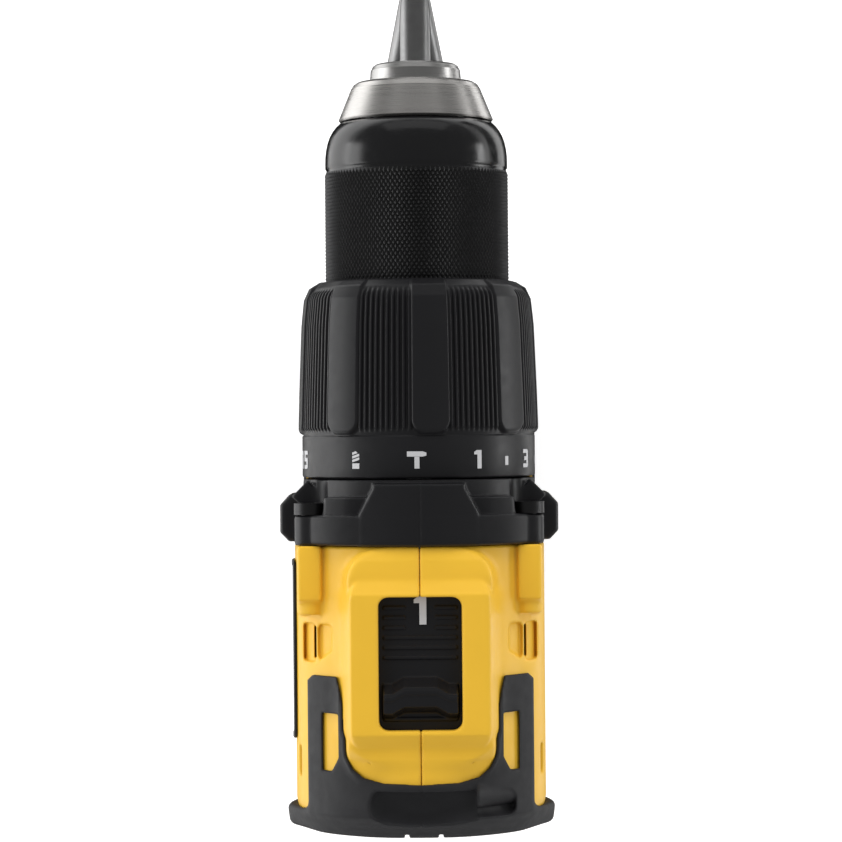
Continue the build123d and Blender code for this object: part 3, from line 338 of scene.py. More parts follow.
def ground(name, colour, roughness, grain=0.003, change=0.08, metallic=1.0, **shader):
    """A metal ground, stamped or plated, with short fine scratches along x."""
    f = Finish(name, colour, roughness, metallic=metallic, **shader)
    stretched = f.add("VectorMath", {0: f.place, 1: (0.12, 1.0, 1.0)}, operation="MULTIPLY").outputs[0]
    fine = f.noise(0.22, 3.0, stretched)
    f.tint(f.noise(3.0, 4.0), change)
    f.set("Roughness", f.spread(fine, roughness - 0.06, roughness + 0.08))
    f.bump(fine, grain)
    return f.material


FINISHES = {
    "steel": turned("turned_steel", (0.5, 0.495, 0.485), 0.32, groove=0.0012),
    "bright_steel": turned("bright_turned_steel", (0.62, 0.605, 0.585), 0.3, groove=0.0012),
    "dark_steel": ground("hardened_steel", (0.3, 0.3, 0.3), 0.36, grain=0.0012),
    "black_metal": turned("blacked_steel", (0.06, 0.06, 0.061), 0.42, groove=0.002, change=0.1),
    "black_plastic": moulded("black_moulding", (0.009, 0.009, 0.01), 0.4, Specular_IOR_Level=0.4),
    "yellow_plastic": moulded(
        "yellow_moulding", (0.83, 0.49, 0.04), 0.4, change=0.015, Specular_IOR_Level=0.35
    ),
    "gloss_black": moulded("gloss_black", (0.004, 0.004, 0.0045), 0.2, grain=0.001, Specular_IOR_Level=0.6),
    "dark_rubber": moulded(
        "dark_rubber", (0.02, 0.02, 0.0215), 0.62, grain=0.02, grain_size=0.22, Specular_IOR_Level=0.35
    ),
    "bronze": turned("oil_filled_bronze", (0.52, 0.33, 0.13), 0.4),
    "copper": ground("enamelled_copper", (0.55, 0.2, 0.07), 0.3),
    "iron": ground("stacked_sheet", (0.25, 0.25, 0.26), 0.5),
    "board": moulded("solder_mask", (0.012, 0.09, 0.03), 0.3, grain=0.004),
    "grey_plastic": moulded("grey_moulding", (0.09, 0.09, 0.095), 0.45),
    "lens": moulded("clear_lens", (0.9, 0.93, 0.96), 0.12, grain=0.006, Transmission_Weight=0.85, IOR=1.49),
    "cell_wrap": moulded("cell_wrap", (0.02, 0.09, 0.3), 0.3, grain=0.004),
    "nickel": ground("nickel_plate", (0.6, 0.57, 0.5), 0.28),
}


# ------------------------ outside shapes of the head, grip and foot
HEAD_BACK_X, HEAD_FRONT_X = -91, -29.4
BARREL_R = 28.6
CASE_SCREW_Y, CASE_SCREW_Z = 24.5, 16.5
# each screw between the halves: x, z and how far its post reaches to each side
SHELL_SCREWS = (
    (-80.0, -25.0, 13.2),
    (-36.6, -25.0, 13.2),
    (-62.6, -67.0, 11.0),
    (-47.0, -80.0, 13.0),
    (-56.0, -98.0, 14.4),
    (-69.2, -117.8, 14.4),
    (8.0, -117.8, 14.4),
)
GRIP_Z = (-124.0, -120.0, -112.0, -100.0, -86.0, -70.0, -54.0, -40.0, -29.0, -20.0, -10.0)
GRIP_MIDDLE = (-45.0, -46.0, -51.0, -54.2, -54.0, -52.6, -51.2, -51.0, -53.0, -57.0, -58.0)
GRIP_LENGTH = (30.0, 29.0, 24.5, 20.5, 19.2, 19.0, 19.2, 20.8, 24.5, 27.5, 29.0)
GRIP_WIDTH = (27.0, 26.0, 21.5, 18.0, 16.8, 16.8, 16.6, 17.2, 18.6, 20.0, 21.0)
HUMP_X, HUMP_HALF, HUMP_CORNER = (-81.4, -30.0), 16.9, 7.5
HUMP_BASE = ((-30.2, 5), (-30.2, 27.3), (-32.6, 28.7), (-36.0, 29.1), (-70.0, 29.1), (-76.4, 29.1))
HUMP_BASE += ((-81.4, 27.6), (-81.4, 5))
HUMP_TOP = ((-36.5, 5), (-36.5, 28.9), (-40.0, 31.5), (-70.9, 31.5), (-74.4, 28.9), (-74.4, 5))
WINDOW_X, WINDOW_HALF = (-69.9, -40.5), 9.2
FOOT_X, FOOT_HALF, FOOT_Z, FOOT_CORNER = (-74, 30), 30.4, (-133.8, -113.5), 9.0
BATTERY_X, BATTERY_HALF = (-72.0, 33.0), 31.8
LAMP_X, LAMP_Z, LAMP_COS, LAMP_SIN = 24, -117.4, 0.894, 0.447


def eased(z, values):
    """The grip's size at height z, smooth between its sections."""
    fine = np.linspace(GRIP_Z[0], GRIP_Z[-1], 300)
    rough = np.interp(fine, GRIP_Z, values)
    kernel = np.hanning(19)
    padded = np.concatenate([np.full(9, rough[0]), rough, np.full(9, rough[-1])])
    return np.interp(z, fine, np.convolve(padded, kernel / kernel.sum(), "valid"))


def grip(g, grow=0.0):
    """Distance to the pistol grip's oval column, grown all round."""
    along, across = eased(g.z, GRIP_LENGTH) + grow, eased(g.z, GRIP_WIDTH) + grow
    u, v = g.x - eased(g.z, GRIP_MIDDLE), g.y
    k = np.sqrt((u / along) ** 2 + (v / across) ** 2)
    steep = np.sqrt((u / along**2) ** 2 + (v / across**2) ** 2) + 1e-6
    return (k * (k - 1) / steep * 0.97).astype(np.float32)


def barrel(g):
    """Distance to the motor barrel, tapered at the back."""
    stations = (HEAD_BACK_X, -89.6, -87.6, -29)
    wall = np.interp(g.x, stations, (26.6, 28.2, BARREL_R, BARREL_R)).astype(np.float32)
    return joined([stretch(HEAD_BACK_X, HEAD_FRONT_X, g.x), (g.r - wall) * 0.93], 0.8)


def hump(g):
    """Distance to the raised cover over the speed selector."""
    side = np.abs(g.y) - HUMP_HALF + 0.13 * (g.z - 23)
    plan = joined([stretch(*HUMP_X, g.x), side], HUMP_CORNER)
    base = meet(outline(g.x, g.z, HUMP_BASE), plan, 1.2)
    brow = np.interp(g.x, (-77, -71), (28.4, 34)).astype(np.float32)
    bevel = (plan + 3.4 + (g.z - brow) * 1.2) * 0.64
    base = meet(base, bevel, 0.4)
    plateau = joined([stretch(-75.4, -35.6, g.x), side + 0.15 * (g.z - 29)], 6.0)
    return unite(base, meet(outline(g.x, g.z, HUMP_TOP), plateau, 0.5), 0.35)


def bosses(g):
    """Distance to the flat-topped screw bosses behind the gear case."""
    y, z = np.abs(g.y), np.abs(g.z)
    side = ((HEAD_FRONT_X, 5), (HEAD_FRONT_X, 20.4), (-41.6, 20.4), (-45.4, 14.0), (-45.4, 5))
    ramped = outline(g.x, z, side)
    flat = joined([ramped, stretch(21.9, 27.3, y)], 0.7)
    post = np.sqrt((y - CASE_SCREW_Y) ** 2 + (z - CASE_SCREW_Z) ** 2) - 3.1
    return unite(flat, joined([stretch(-45.0, HEAD_FRONT_X, g.x), post], 0.7), 0.5)


def saddle(g):
    """Space at the back of the head's top that the bumper's rubber fills."""
    return joined([stretch(-93, -83.0, g.x), stretch(-24.8, 24.8, g.y), 10.0 - g.z, 23.6 - g.r], 0.3)


def head(g):
    """Distance to the outside of the yellow head."""
    return unite(unite(barrel(g), hump(g), 1.6), bosses(g), 0.9)


def foot(g):
    """Distance to the foot, before the battery's channel is cut out of it."""
    plan = joined([stretch(*FOOT_X, g.x), stretch(-FOOT_HALF, FOOT_HALF, g.y)], FOOT_CORNER)
    body = joined([plan, stretch(-150, FOOT_Z[1], g.z)], 4.5)
    return meet(body, FOOT_Z[0] - g.z, 0.5)


def lamp_box(g, half_length, half_width, low, high, r=0.3):
    """A box on the work lamp's tilted plane."""
    u = (g.x - LAMP_X) * LAMP_COS - (g.z - LAMP_Z) * LAMP_SIN
    w = (g.x - LAMP_X) * LAMP_SIN + (g.z - LAMP_Z) * LAMP_COS
    plan = joined([np.abs(u) - half_length, np.abs(g.y) - half_width], 2.0)
    return joined([plan, stretch(low, high, w)], r)


# ------------------------ housing
def clamshell(g):
    """Distance to both housing halves as one shell, before the screws part them."""
    shell = unite(head(g), meet(grip(g), stretch(-124, -12, g.z), 1.0), 5.0)
    shell = unite(shell, foot(g), 4.0)
    front = g.x - HEAD_FRONT_X - np.where(g.z > -34, 0, 99).astype(np.float32)
    shell = meet(shell, front, 0.6)
    # the motor's bore, the bumper's saddle and the gear case's spigot
    inner = np.interp(g.x, (-88.6, -87, -82, -80.6, -29), (18.6, 21.2, 21.2, 26, 26)).astype(np.float32)
    shell = cut(shell, joined([stretch(-88.6, -33.0, g.x), g.r - inner], 0.5))
    shell = cut(shell, saddle(g), 0.3)
    shell = cut(shell, bar(g, (-33.5, -28.0), 24.5))
    # the rear bearing's seat and two ribs round the motor
    shell = unite(shell, np.maximum(bar(g, (-90, -82.6), 10.5), 8.0 - g.r))
    for x in (-60.0, -46.0):
        shell = unite(shell, np.maximum(bar(g, (x, x + 1.8), 26.2), 22.0 - g.r))
    # the selector's channel, the shift link's slot and the window
    shell = cut(shell, box(g, (-77.3, -33.2), (-11.5, 11.5), (22.6, 28.0)))
    shell = cut(shell, box(g, (-34, -28), (-2.8, 2.8), (18, 26.2)))
    window = joined([stretch(*WINDOW_X, g.x), np.abs(g.y) - WINDOW_HALF], 2.2)
    shell = cut(shell, joined([window, stretch(24, 40, g.z)], 0.1), 0.5)
    # the hollows of the grip and the foot, and the battery's rails
    shell = cut(shell, joined([grip(g, -2.6), stretch(-119.6, -20.5, g.z), g.x + 33.0], 0.5))
    shell = cut(shell, box(g, (-66, 14), (-25, 25), (-119.6, -116.2)))
    shell = cut(shell, box(g, (-71, 40), (-17.6, 17.6), (-140, -121.6), 0.5), 0.5)
    shell = cut(shell, box(g, (-71, 40), (-22, 22), (-129.6, -121.6), 0.5), 0.5)
    shell = cut(shell, box(g, (-65.2, -62), (-12, 12), (-122.6, -118.6)))
    for z in (-CASE_SCREW_Z, CASE_SCREW_Z):
        shell = cut(shell, bar(g, (-43, -28), 2.0, CASE_SCREW_Y, z))
    for x, z, reach in SHELL_SCREWS:
        shell = unite(shell, cross_bar(g, x, z, 3.2, (-reach, reach)))
    # the screw posts stop at the stator and at the fan
    shell = cut(shell, bar(g, (-62.4, -37), 22.0))
    shell = cut(shell, bar(g, (-81, -71), 21.2))
    # openings for the trigger and the direction lever
    trigger_hole = joined([stretch(-47, -20, g.x), np.abs(g.y) - 8.9, stretch(-60.4, -33.6, g.z)], 0.8)
    shell = cut(shell, trigger_hole, 0.7)
    shell = cut(shell, box(g, (-40.1, -32.1), (-30, 30), (-32.8, -28.4), 0.4), 0.5)
    # two inlet pockets beside the hump, with a fin between them, and the outlets round the fan
    for y, back, floor in ((24.8, -55.8, 27.5), (21.2, -55.2, 27.5)):
        pocket = joined([stretch(back, -47.1, g.x), stretch(y - 1.5, y + 1.5, g.y)], 0.9)
        if y < 23:
            pocket = np.maximum(pocket, (-g.x - g.y * 0.8 - 37.2) * 0.78)
        shell = cut(shell, joined([pocket, floor - g.r, 5.0 - g.z], 0.4), 0.5)
    shell = cut(shell, box(g, (-55.0, -47.6), (23.35, 23.85), (5.0, 30.0), 0.1), 0.1)
    for z in (-7.5, -2.5, 2.5, 7.5):
        shell = cut(shell, box(g, (-82, -75.2), (20, 40), (z - 1.2, z + 1.2), 0.9), 0.5)
    # the work lamp's seat and the belt hook's hole
    shell = cut(shell, lamp_box(g, 5.5, 7.5, 0, 12), 0.4)
    shell = cut(shell, cross_bar(g, -20, -125, 1.65, (24, 40)), 0.4)
    # shallow line round the foot, over the battery
    return cut(shell, np.abs(foot(g)) + np.abs(g.z + 129.6) * 0.9 - 0.5, 0.2)


def housing():
    """Both halves of the clamshell, worked out on the left and mirrored for the right."""
    g = Grid(
        [(-92.0, -29.0, 0.4), (-29.0, 31.0, 0.8)],
        [(-0.4, 31.6, 0.42)],
        [(-134.6, -33.0, 0.75), (-33.0, 32.2, 0.4)],
    )
    shell = clamshell(g)
    left, right = shell, shell
    for x, z, _ in SHELL_SCREWS:
        left = cut(left, cross_bar(g, x, z, 1.5, (-1, 11)))
        right = cut(right, cross_bar(g, x, z, 1.7, (-1, 20)))
        right = cut(right, cross_bar(g, x, z, 3.0, (9.5, 40)), 0.4)
    for name, half, side in (("left", left, 1), ("right", right, -1)):
        points, faces = surface(g, meet(half, 0.05 - g.y, 0.3))
        points[:, 1] *= side
        piece = add_mesh(f"shell_{name}", points, faces[:, :: side], FINISHES["yellow_plastic"], "tool")
        thin(piece, 0.35)
        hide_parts(f"housing_{name}")


# ------------------------ gear case
PIN_PITCH_R, PIN_COUNT = 19.0, 6
COVER_R, COVER_MIDDLE_Z = 35.9, -6.2


def gear_case():
    """Black case in front of the yellow head: flange, ears, stepped cover, bosses and nose tube."""
    g = Grid([(-33.6, 4.0, 0.38), (4.0, 25.0, 0.8)], [(-32.0, 32.0, 0.38)], [(-29.0, 30.6, 0.38)])
    y = np.abs(g.y)
    case = bar(g, (-33, -29), 24.5)
    case = unite(case, bar(g, (HEAD_FRONT_X, -22.3), 28.2, r=0.7))
    slope = np.interp(g.x, (-22.3, -18.8, -15), (27.6, 26.6, 26.5)).astype(np.float32)
    case = unite(case, joined([stretch(-23, -14.75, g.x), g.r - slope], 0.25), 0.4)
    case = unite(case, bar(g, (-20, 4.6), 23.2))
    case = unite(case, bar(g, (0, 24.3), 14.0))
    ear = ((-28.9, 0), (-28.9, 29.6), (-26.8, 31.6), (-20.6, 31.6), (-18.2, 29.4), (-17.2, 0))
    case = unite(case, joined([outline(g.x, y, ear), stretch(-9.5, 9.5, g.z)], 1.1), 0.5)
    for z in (-CASE_SCREW_Z, CASE_SCREW_Z):
        boss = np.sqrt((y - CASE_SCREW_Y) ** 2 + (g.z - z) ** 2)
        case = unite(case, joined([stretch(HEAD_FRONT_X, -22.8, g.x), boss - 3.5], 0.6), 0.8)
    flange = ((HEAD_FRONT_X, 0), (HEAD_FRONT_X, 28.0), (-23.2, 28.0), (-22.6, 26.8), (-22.6, 0))
    arch = np.sqrt(g.y**2 + (g.z - COVER_MIDDLE_Z) ** 2) - COVER_R
    case = unite(case, joined([outline(g.x, y, flange), arch, -g.z], 0.8), 0.4)
    # the raised cover with the lower step beside it
    step = ((-22.8, 0), (-22.8, 21.6), (-18.8, 21.2), (-18.4, 0))
    case = unite(case, joined([outline(g.x, y, step), stretch(0, 25.2, g.z), arch + 0.9], 0.5), 0.3)
    cover = ((HEAD_FRONT_X, 0), (HEAD_FRONT_X, 13.4), (-22.2, 13.4), (-16.6, 10.3))
    cover += ((-15.6, 10.3), (-15.6, 0))
    case = unite(case, joined([outline(g.x, y, cover), arch, -g.z], 0.7), 0.3)
    # diamond webs at the corners
    turned_x, turned_y = (g.x + 18.6 + y - 25.2) * 0.707, (g.x + 18.6 - y + 25.2) * 0.707
    web = joined([np.abs(turned_x) - 2.5, np.abs(turned_y) - 2.5, stretch(0, 12.8, np.abs(g.z))], 0.4)
    case = unite(case, web, 0.3)
    # the shift link's slots, the gears' bore, the bearing's bore and the clutch pins' holes
    case = cut(case, box(g, (-40, -17.2), (-2.8, 2.8), (18, 26.2)))
    case = cut(case, box(g, (-18, -12.9), (-2.8, 2.8), (18, 23.4)))
    case = cut(case, bar(g, (-36, 1), 21.3))
    case = cut(case, bar(g, (0, 26), 10.5))
    for i in range(PIN_COUNT):
        turn = math.radians(360 / PIN_COUNT * i)
        hole = bar(g, (0.0, 5.5), 1.8, PIN_PITCH_R * math.cos(turn), PIN_PITCH_R * math.sin(turn))
        case = cut(case, hole)
    for z in (-CASE_SCREW_Z, CASE_SCREW_Z):
        away = np.sqrt((y - CASE_SCREW_Y) ** 2 + (g.z - z) ** 2)
        case = cut(case, joined([stretch(-31, -10, g.x), away - 2.1], 0.1), 0.2)
        case = cut(case, joined([stretch(-22.6, -10, g.x), away - 3.9], 0.2), 0.35)
    points, faces = surface(g, case)
    piece = add_mesh("gearbox_case", points, faces, FINISHES["black_plastic"], "tool")
    thin(piece, 0.4)
    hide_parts("gear_case")


# ------------------------ rubber
# the bumper's left half as (y, z) at its rear rim and at its front edge, and its arm's skin as (x, y)
RIM = ((0, 19.8), (8.5, 19.8), (16.8, 16.6), (22.3, 13.3), (25, 8.4), (27.8, 3.4), (30.6, 0))
RIM += ((28.6, -6), (26, -13), (20, -21), (11, -26), (0, -27.5))
FRONT = ((0, 25.8), (9, 25.6), (17, 23.6), (22.8, 18.6), (27.2, 11.8), (29.9, 5), (31, 0))
FRONT += ((30.2, -6), (27.6, -14), (21.6, -22), (11.8, -27.6), (0, -29.3))
ARM = ((-93, 0), (-93, 25.5), (-59.9, 25.5), (-58.5, 24.2), (-58.5, 18.6), (-65.6, 17.0), (-76, 16.5))
ARM += ((-78.6, 15.3), (-80.6, 12.8), (-81.7, 8.4), (-82.0, 0))
ARM_WINDOW = ((-79.6, 21.9), (-66.8, 21.9), (-66.8, 18.4), (-76.6, 18.4), (-79.6, 19.9))


def rear_bumper():
    """Rubber cap round the back of the barrel, with arms beside the hump, their windows and the scoop."""
    g = Grid([(-95.2, -58.0, 0.36)], [(-31.4, 31.4, 0.36)], [(-29.8, 29.8, 0.36)])
    y = np.abs(g.y)
    rings = [pts + tuple((-a, b) for a, b in reversed(pts[1:-1])) for pts in (RIM, FRONT)]
    loops = [outline(g.y, g.z, softened(pts, 2)) for pts in rings]
    back = ramp(g.x, -97.0, -88.5)
    cap = loops[0] * (1 - back) + loops[1] * back
    bowed = -95.0 + 0.0009 * g.y**2 - g.x
    cap = joined([cap * 0.95, bowed, g.x + 89.2], 1.3)
    inside = cut(head(g), saddle(g), 0.3)
    proud = np.maximum(unite(barrel(g), hump(g), 1.6) - 0.85, barrel(g) - 1.9)
    arms = joined([outline(g.x, y, ARM), proud, 5.0 - g.z], 0.5)
    cap = unite(cap, arms, 2.2)
    cap = cut(cap, joined([outline(g.x, y, ARM_WINDOW), 8.0 - g.z], 0.9), 0.4)
    # the scoop, the pocket beside it and the lug in the pocket
    aside = np.maximum(g.y - 7.2, 0)
    scoop = np.sqrt(aside**2 + (g.x + 86.9) ** 2 + (g.z - 28.6) ** 2) - 4.5
    cap = cut(cap, joined([scoop, 24.4 - g.r, -12.4 - g.y, g.x + 83.6], 0.3), 0.5)
    pocket = joined([stretch(-89.6, -84.0, g.x), stretch(-21.0, -11.6, g.y), 10 - g.z, 26.9 - g.r], 1.8)
    cap = cut(cap, pocket, 0.5)
    lean = (g.y + 12.3) * 0.695 - (g.z - 24.6) * 0.72
    lug = np.sqrt((g.x + 84.6) ** 2 + lean**2) - 3.0
    cap = unite(cap, joined([lug, g.y + 12.3, -22.5 - g.y, 10 - g.z], 0.4), 0.3)
    for dent in (3.3, -4.3):
        cap = cut(cap, box(g, (-96, -94.0), (dent - 0.5, dent + 0.5), (10, 30), 0.2), 0.2)
    cap = cut(cap, inside - 0.03, 0.05)
    points, faces = surface(g, cap)
    piece = add_mesh("bumper", points, faces, FINISHES["dark_rubber"], "tool")
    thin(piece, 0.4)
    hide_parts("rear_bumper")


def grip_rubber():
    """Soft skin over the back and sides of the grip, with a field of slanted grooves."""
    g = Grid([(-79.0, -43.0, 0.42)], [(-21.4, 21.4, 0.42)], [(-109.0, -35.0, 0.42)])
    lean = g.x + 0.10 * (g.z + 70)
    skin = np.maximum(grip(g, 1.1), -grip(g, 0.03))
    plan = joined([lean + 46.5, stretch(-107.6, -36.4, g.z)], 3.0)
    skin = meet(skin, plan, 0.5)
    grooves = np.abs(((g.z + 0.5 * g.x) % 4.0) - 2.0) - 0.55
    field = joined([stretch(-96, -50, g.z), lean + 53], 2.0)
    skin = cut(skin, np.maximum(np.maximum(grooves, field), -grip(g, 0.7)), 0.5)
    for x, z, _ in SHELL_SCREWS[2:5]:
        skin = cut(skin, cross_bar(g, x, z, 3.3, (-40, 0)), 0.2)
    points, faces = surface(g, skin)
    piece = add_mesh("grip_skin", points, faces, FINISHES["dark_rubber"], "tool")
    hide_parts("grip_rubber")


def badge():
    """Plain raised strip along the left side."""
    g = Grid([(-74.4, -32.8, 0.3)], [(25.4, 29.6, 0.15)], [(-6.0, 6.0, 0.3)])
    plan = joined([stretch(-74, -33.2, g.x), stretch(-5.5, 5.5, g.z)], 1.6)
    skin = joined([plan, barrel(g) - 0.7, 0.03 - barrel(g)], 0.25)
    inset = joined([stretch(-72.6, -34.6, g.x), stretch(-4.1, 4.1, g.z)], 1.0)
    skin = cut(skin, np.maximum(inset, 0.45 - barrel(g)), 0.1)
    points, faces = surface(g, skin)
    piece = add_mesh("side_badge", points, faces, FINISHES["black_plastic"], "tool")
    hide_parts("badge")


# ------------------------ controls
def speed_selector():
    """Slider in the hump's window: ribbed plate with a bump for the thumb."""
    g = Grid([(-77.4, -39.6, 0.26)], [(-11.0, 11.0, 0.26)], [(23.4, 31.6, 0.2)])
    y = np.abs(g.y)
    slider = box(g, (-76.9, -40.1), (-10.6, 10.6), (26.2, 27.6), 0.25)
    flare = np.clip((y - 3.6) / 2.6, 0, 1) * 1.5
    profile = outline(g.x + flare, g.z, [(-66.6, 26.6), (-64.6, 30.9), (-60.4, 31.1), (-57.6, 26.6)])
    slider = unite(slider, joined([profile, y - 8.3], 0.35), 0.35)
    lip = outline(g.x + flare, g.z, [(-61.9, 26.6), (-61.9, 31.3), (-60.9, 31.3), (-60.9, 26.6)])
    slider = unite(slider, joined([lip, y - 8.1], 0.2), 0.2)
    for x in (-43.0, -45.2, -47.4, -49.6, -51.8, -54.0, -67.6):
        inner = 3.2 if x > -48 else 0.0
        rib = joined([np.abs(g.x - x) - 0.42, np.abs(y - (8.2 + inner) / 2) - (8.2 - inner) / 2], 0.3)
        slider = unite(slider, joined([rib, stretch(27, 28.0, g.z)], 0.12), 0.1)
    for x in (-45.75, -54.05):
        for middle in (-4.6, 4.6):
            lug = box(g, (x - 0.75, x + 0.75), (middle - 1.4, middle + 1.4), (24.15, 26.6), 0.2)
            slider = unite(slider, lug)
    points, faces = surface(g, slider)
    piece = add_mesh("selector_slide", points, faces, FINISHES["black_plastic"], "selector")
    thin(piece, 0.5)
    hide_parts("speed_selector")


def trigger():
    """Finger trigger with a hollowed front."""
    g = Grid([(-41.2, -18.8, 0.4)], [(-8.9, 8.9, 0.4)], [(-60.4, -33.6, 0.4)])
    side = ((-40.8, -60), (-24.8, -60), (-21.8, -58.4), (-22.8, -52), (-22.6, -46), (-21.2, -40))
    side += ((-19.3, -35.8), (-20.6, -34), (-40.8, -34))
    crown = 0.035 * g.y**2
    lever = joined([outline(g.x + crown, g.z, side) * 0.97, np.abs(g.y) - 8.5], 1.5)
    lever = meet(lever, -40.8 - g.x, 0.3)
    lever = cut(lever, bar(g, (-43, -31), 3.4, 0.0, -47.0))
    points, faces = surface(g, lever)
    piece = add_mesh("trigger_shape", points, faces, FINISHES["black_plastic"], "trigger")
    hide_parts("trigger")


def direction_lever():
    """Forward and reverse bar with rounded, ribbed ends."""
    g = Grid([(-40.2, -32.0, 0.22)], [(-18.2, 18.2, 0.3)], [(-32.9, -28.3, 0.22)])
    lever = box(g, (-39.8, -32.4), (-17.8, 17.8), (-32.5, -28.7), 0.9)
    for x in (-38.1, -36.1, -34.1):
        groove = np.maximum(np.abs(g.x - x) - 0.35, 17.4 - np.abs(g.y))
        lever = cut(lever, groove, 0.25)
    points, faces = surface(g, lever)
    piece = add_mesh("direction_bar", points, faces, FINISHES["black_plastic"], "direction_lever")
    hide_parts("direction_lever")


# ------------------------ chuck sleeve and torque collar
SLEEVE_R, BORE_R, KNURL_X = 21.1, 14.6, (29.3, 55.2)
DIAMONDS, DIAMOND_LENGTH, KNURL_DEPTH = 126, 1.6, 0.32
# stations of x and radius from the nose back: the dome, then the sleeve's back and inside
DOME = ((66.6, BORE_R), (66.6, 16.0), (66.6, 17.3), (66.4, 17.62), (65.6, 18.45), (64.6, 19.2))
DOME += ((63.4, 19.86), (62.0, 20.35), (60.4, 20.7), (58.8, 20.88), (57.0, 20.92), (56.1, 20.9))
DOME += ((55.9, 20.7), (55.6, 20.6))
SLEEVE_INSIDE = ((28.9, 20.78), (28.6, 20.6), (28.5, 20.2), (28.5, 19.4), (28.8, 19.3), (57.0, 19.3))
SLEEVE_INSIDE += ((57.0, 16.5), (64.8, 16.5), (64.8, BORE_R))
DOME_BACK_X = 55.3


def sleeve():
    """Chuck sleeve: gloss dome in front, diamond knurl behind."""
    columns = 2 * DIAMONDS
    rows = int((KNURL_X[1] - KNURL_X[0]) / (DIAMOND_LENGTH / 2)) // 2 * 2
    rings = list(DOME)
    first = len(rings)
    for row in range(rows + 1):
        x = KNURL_X[1] - (KNURL_X[1] - KNURL_X[0]) * row / rows
        peak = (np.arange(columns) + row) % 2 * (0 < row < rows)
        rings.append((x, SLEEVE_R - KNURL_DEPTH * (1 - peak)))
    tips = range(first, first + rows)
    points, faces = lathe(rings + list(SLEEVE_INSIDE), tips)
    piece = add_mesh("knurled_sleeve", points, faces, FINISHES["gloss_black"], "sleeve")
    piece.data.materials.append(FINISHES["black_metal"])
    smooth, index = [], []
    for face in piece.data.polygons:
        knurled = len(face.vertices) == 3
        smooth.append(not knurled)
        index.append(int(knurled or face.center.x < DOME_BACK_X * MM))
    piece.data.polygons.foreach_set("use_smooth", smooth)
    piece.data.polygons.foreach_set("material_index", index)
    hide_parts("chuck_sleeve")


# broad ribs round the collar, and fine ones with their pitch in degrees between each two
RIB_TURN, WIDE_RIBS, FINE_RIBS, FINE_PITCH = -6.0, 8, 10, 2.75
COLLAR_COLUMNS, COLLAR_R = 1440, 26.6
# stations of x and radius: over the ribs, between them, along the number band and inside
COLLAR_SKIN = ((-4.6, 27.15), (-3.6, 27.55), (5.0, 27.3), (20.3, 26.7))
COLLAR_SKIN += ((26.0, 26.1), (28.6, 24.9), (30.0, 22.6))
COLLAR_FLOOR = ((-4.6, 26.4), (-3.6, 26.5), (5.0, 26.2), (20.3, 25.6))
COLLAR_FLOOR += ((26.0, 25.1), (28.4, 24.1), (30.0, 22.2))
BAND = ((-14.5, 26.3), (-14.35, 26.55), (-14.1, 26.7), (-9.0, 26.7))
BAND += ((-5.3, 26.7), (-5.05, 26.6), (-4.9, 26.3))
COLLAR_INSIDE = ((30.0, 21.9), (29.9, 21.7), (27.3, 21.7), (27.0, 22.0), (6.6, 22.0), (5.0, 23.6))
COLLAR_INSIDE += ((-14.2, 23.6), (-14.5, 23.8))


def collar():
    """Torque collar: eight broad ribs with fine ribs between them, and a plain band for the numbers."""
    turn = np.arange(COLLAR_COLUMNS) * 2 * math.pi / COLLAR_COLUMNS
    sector = 2 * math.pi / WIDE_RIBS
    away = (turn + math.radians(RIB_TURN) + sector / 2) % sector - sector / 2
    arc = np.abs(away) * COLLAR_R
    first = math.radians(180 / WIDE_RIBS - FINE_PITCH * (FINE_RIBS - 1) / 2)
    phase = (np.abs(away) - first) / math.radians(FINE_PITCH)
    wave = np.clip(0.5 + 0.95 * np.cos(2 * math.pi * phase), 0, 1)
    wave = np.where((phase > -0.5) & (phase < FINE_RIBS - 0.5), wave, 0)
    skin_x, skin_r = zip(*COLLAR_SKIN)
    floor_x, floor_r = zip(*COLLAR_FLOOR)
    rings = list(BAND)
    stations = (np.linspace(-4.6, 0.0, 16), np.linspace(1.5, 24.0, 12), np.linspace(24.6, 30.0, 20))
    for x in np.concatenate(stations):
        low, high = np.interp(x, floor_x, floor_r), np.interp(x, skin_x, skin_r)
        # the broad ribs' outline unrolled: straight sides, rounded at the back
        aside, behind = np.maximum(arc - 1.0, 0), max(-1.4 - x, 0)
        wide = ramp(3.4 - np.where(behind > 0, np.hypot(aside, behind), aside), -0.35, 0.55)
        fine = wave * float(ramp(x, -4.2, -3.0)) * float(1 - ramp(x, 27.0, 28.2))
        rings.append((x, low + (high - low) * np.maximum(wide, 0.62 * fine)))
    rings += COLLAR_INSIDE
    points, faces = lathe(rings[::-1])
    piece = add_mesh("ribbed_collar", points, faces, FINISHES["black_plastic"], "collar")
    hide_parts("clutch_collar")
    keys()


def keys():
    """The four keys inside the collar that turn the clutch nut."""
    g = Grid([(7.6, 26.4, 0.4)], [(-23.0, 23.0, 0.4)], [(-23.0, 23.0, 0.4)])
    u, v = (np.abs(g.y) + np.abs(g.z)) * 0.7071, (np.abs(g.y) - np.abs(g.z)) * 0.7071
    bars = joined([stretch(8, 26, g.x), stretch(20.6, 22.2, u), stretch(-1.5, 1.5, v)], 0.2)
    points, faces = surface(g, bars)
    piece = add_mesh("collar_keys", points, faces, FINISHES["black_plastic"], "collar")


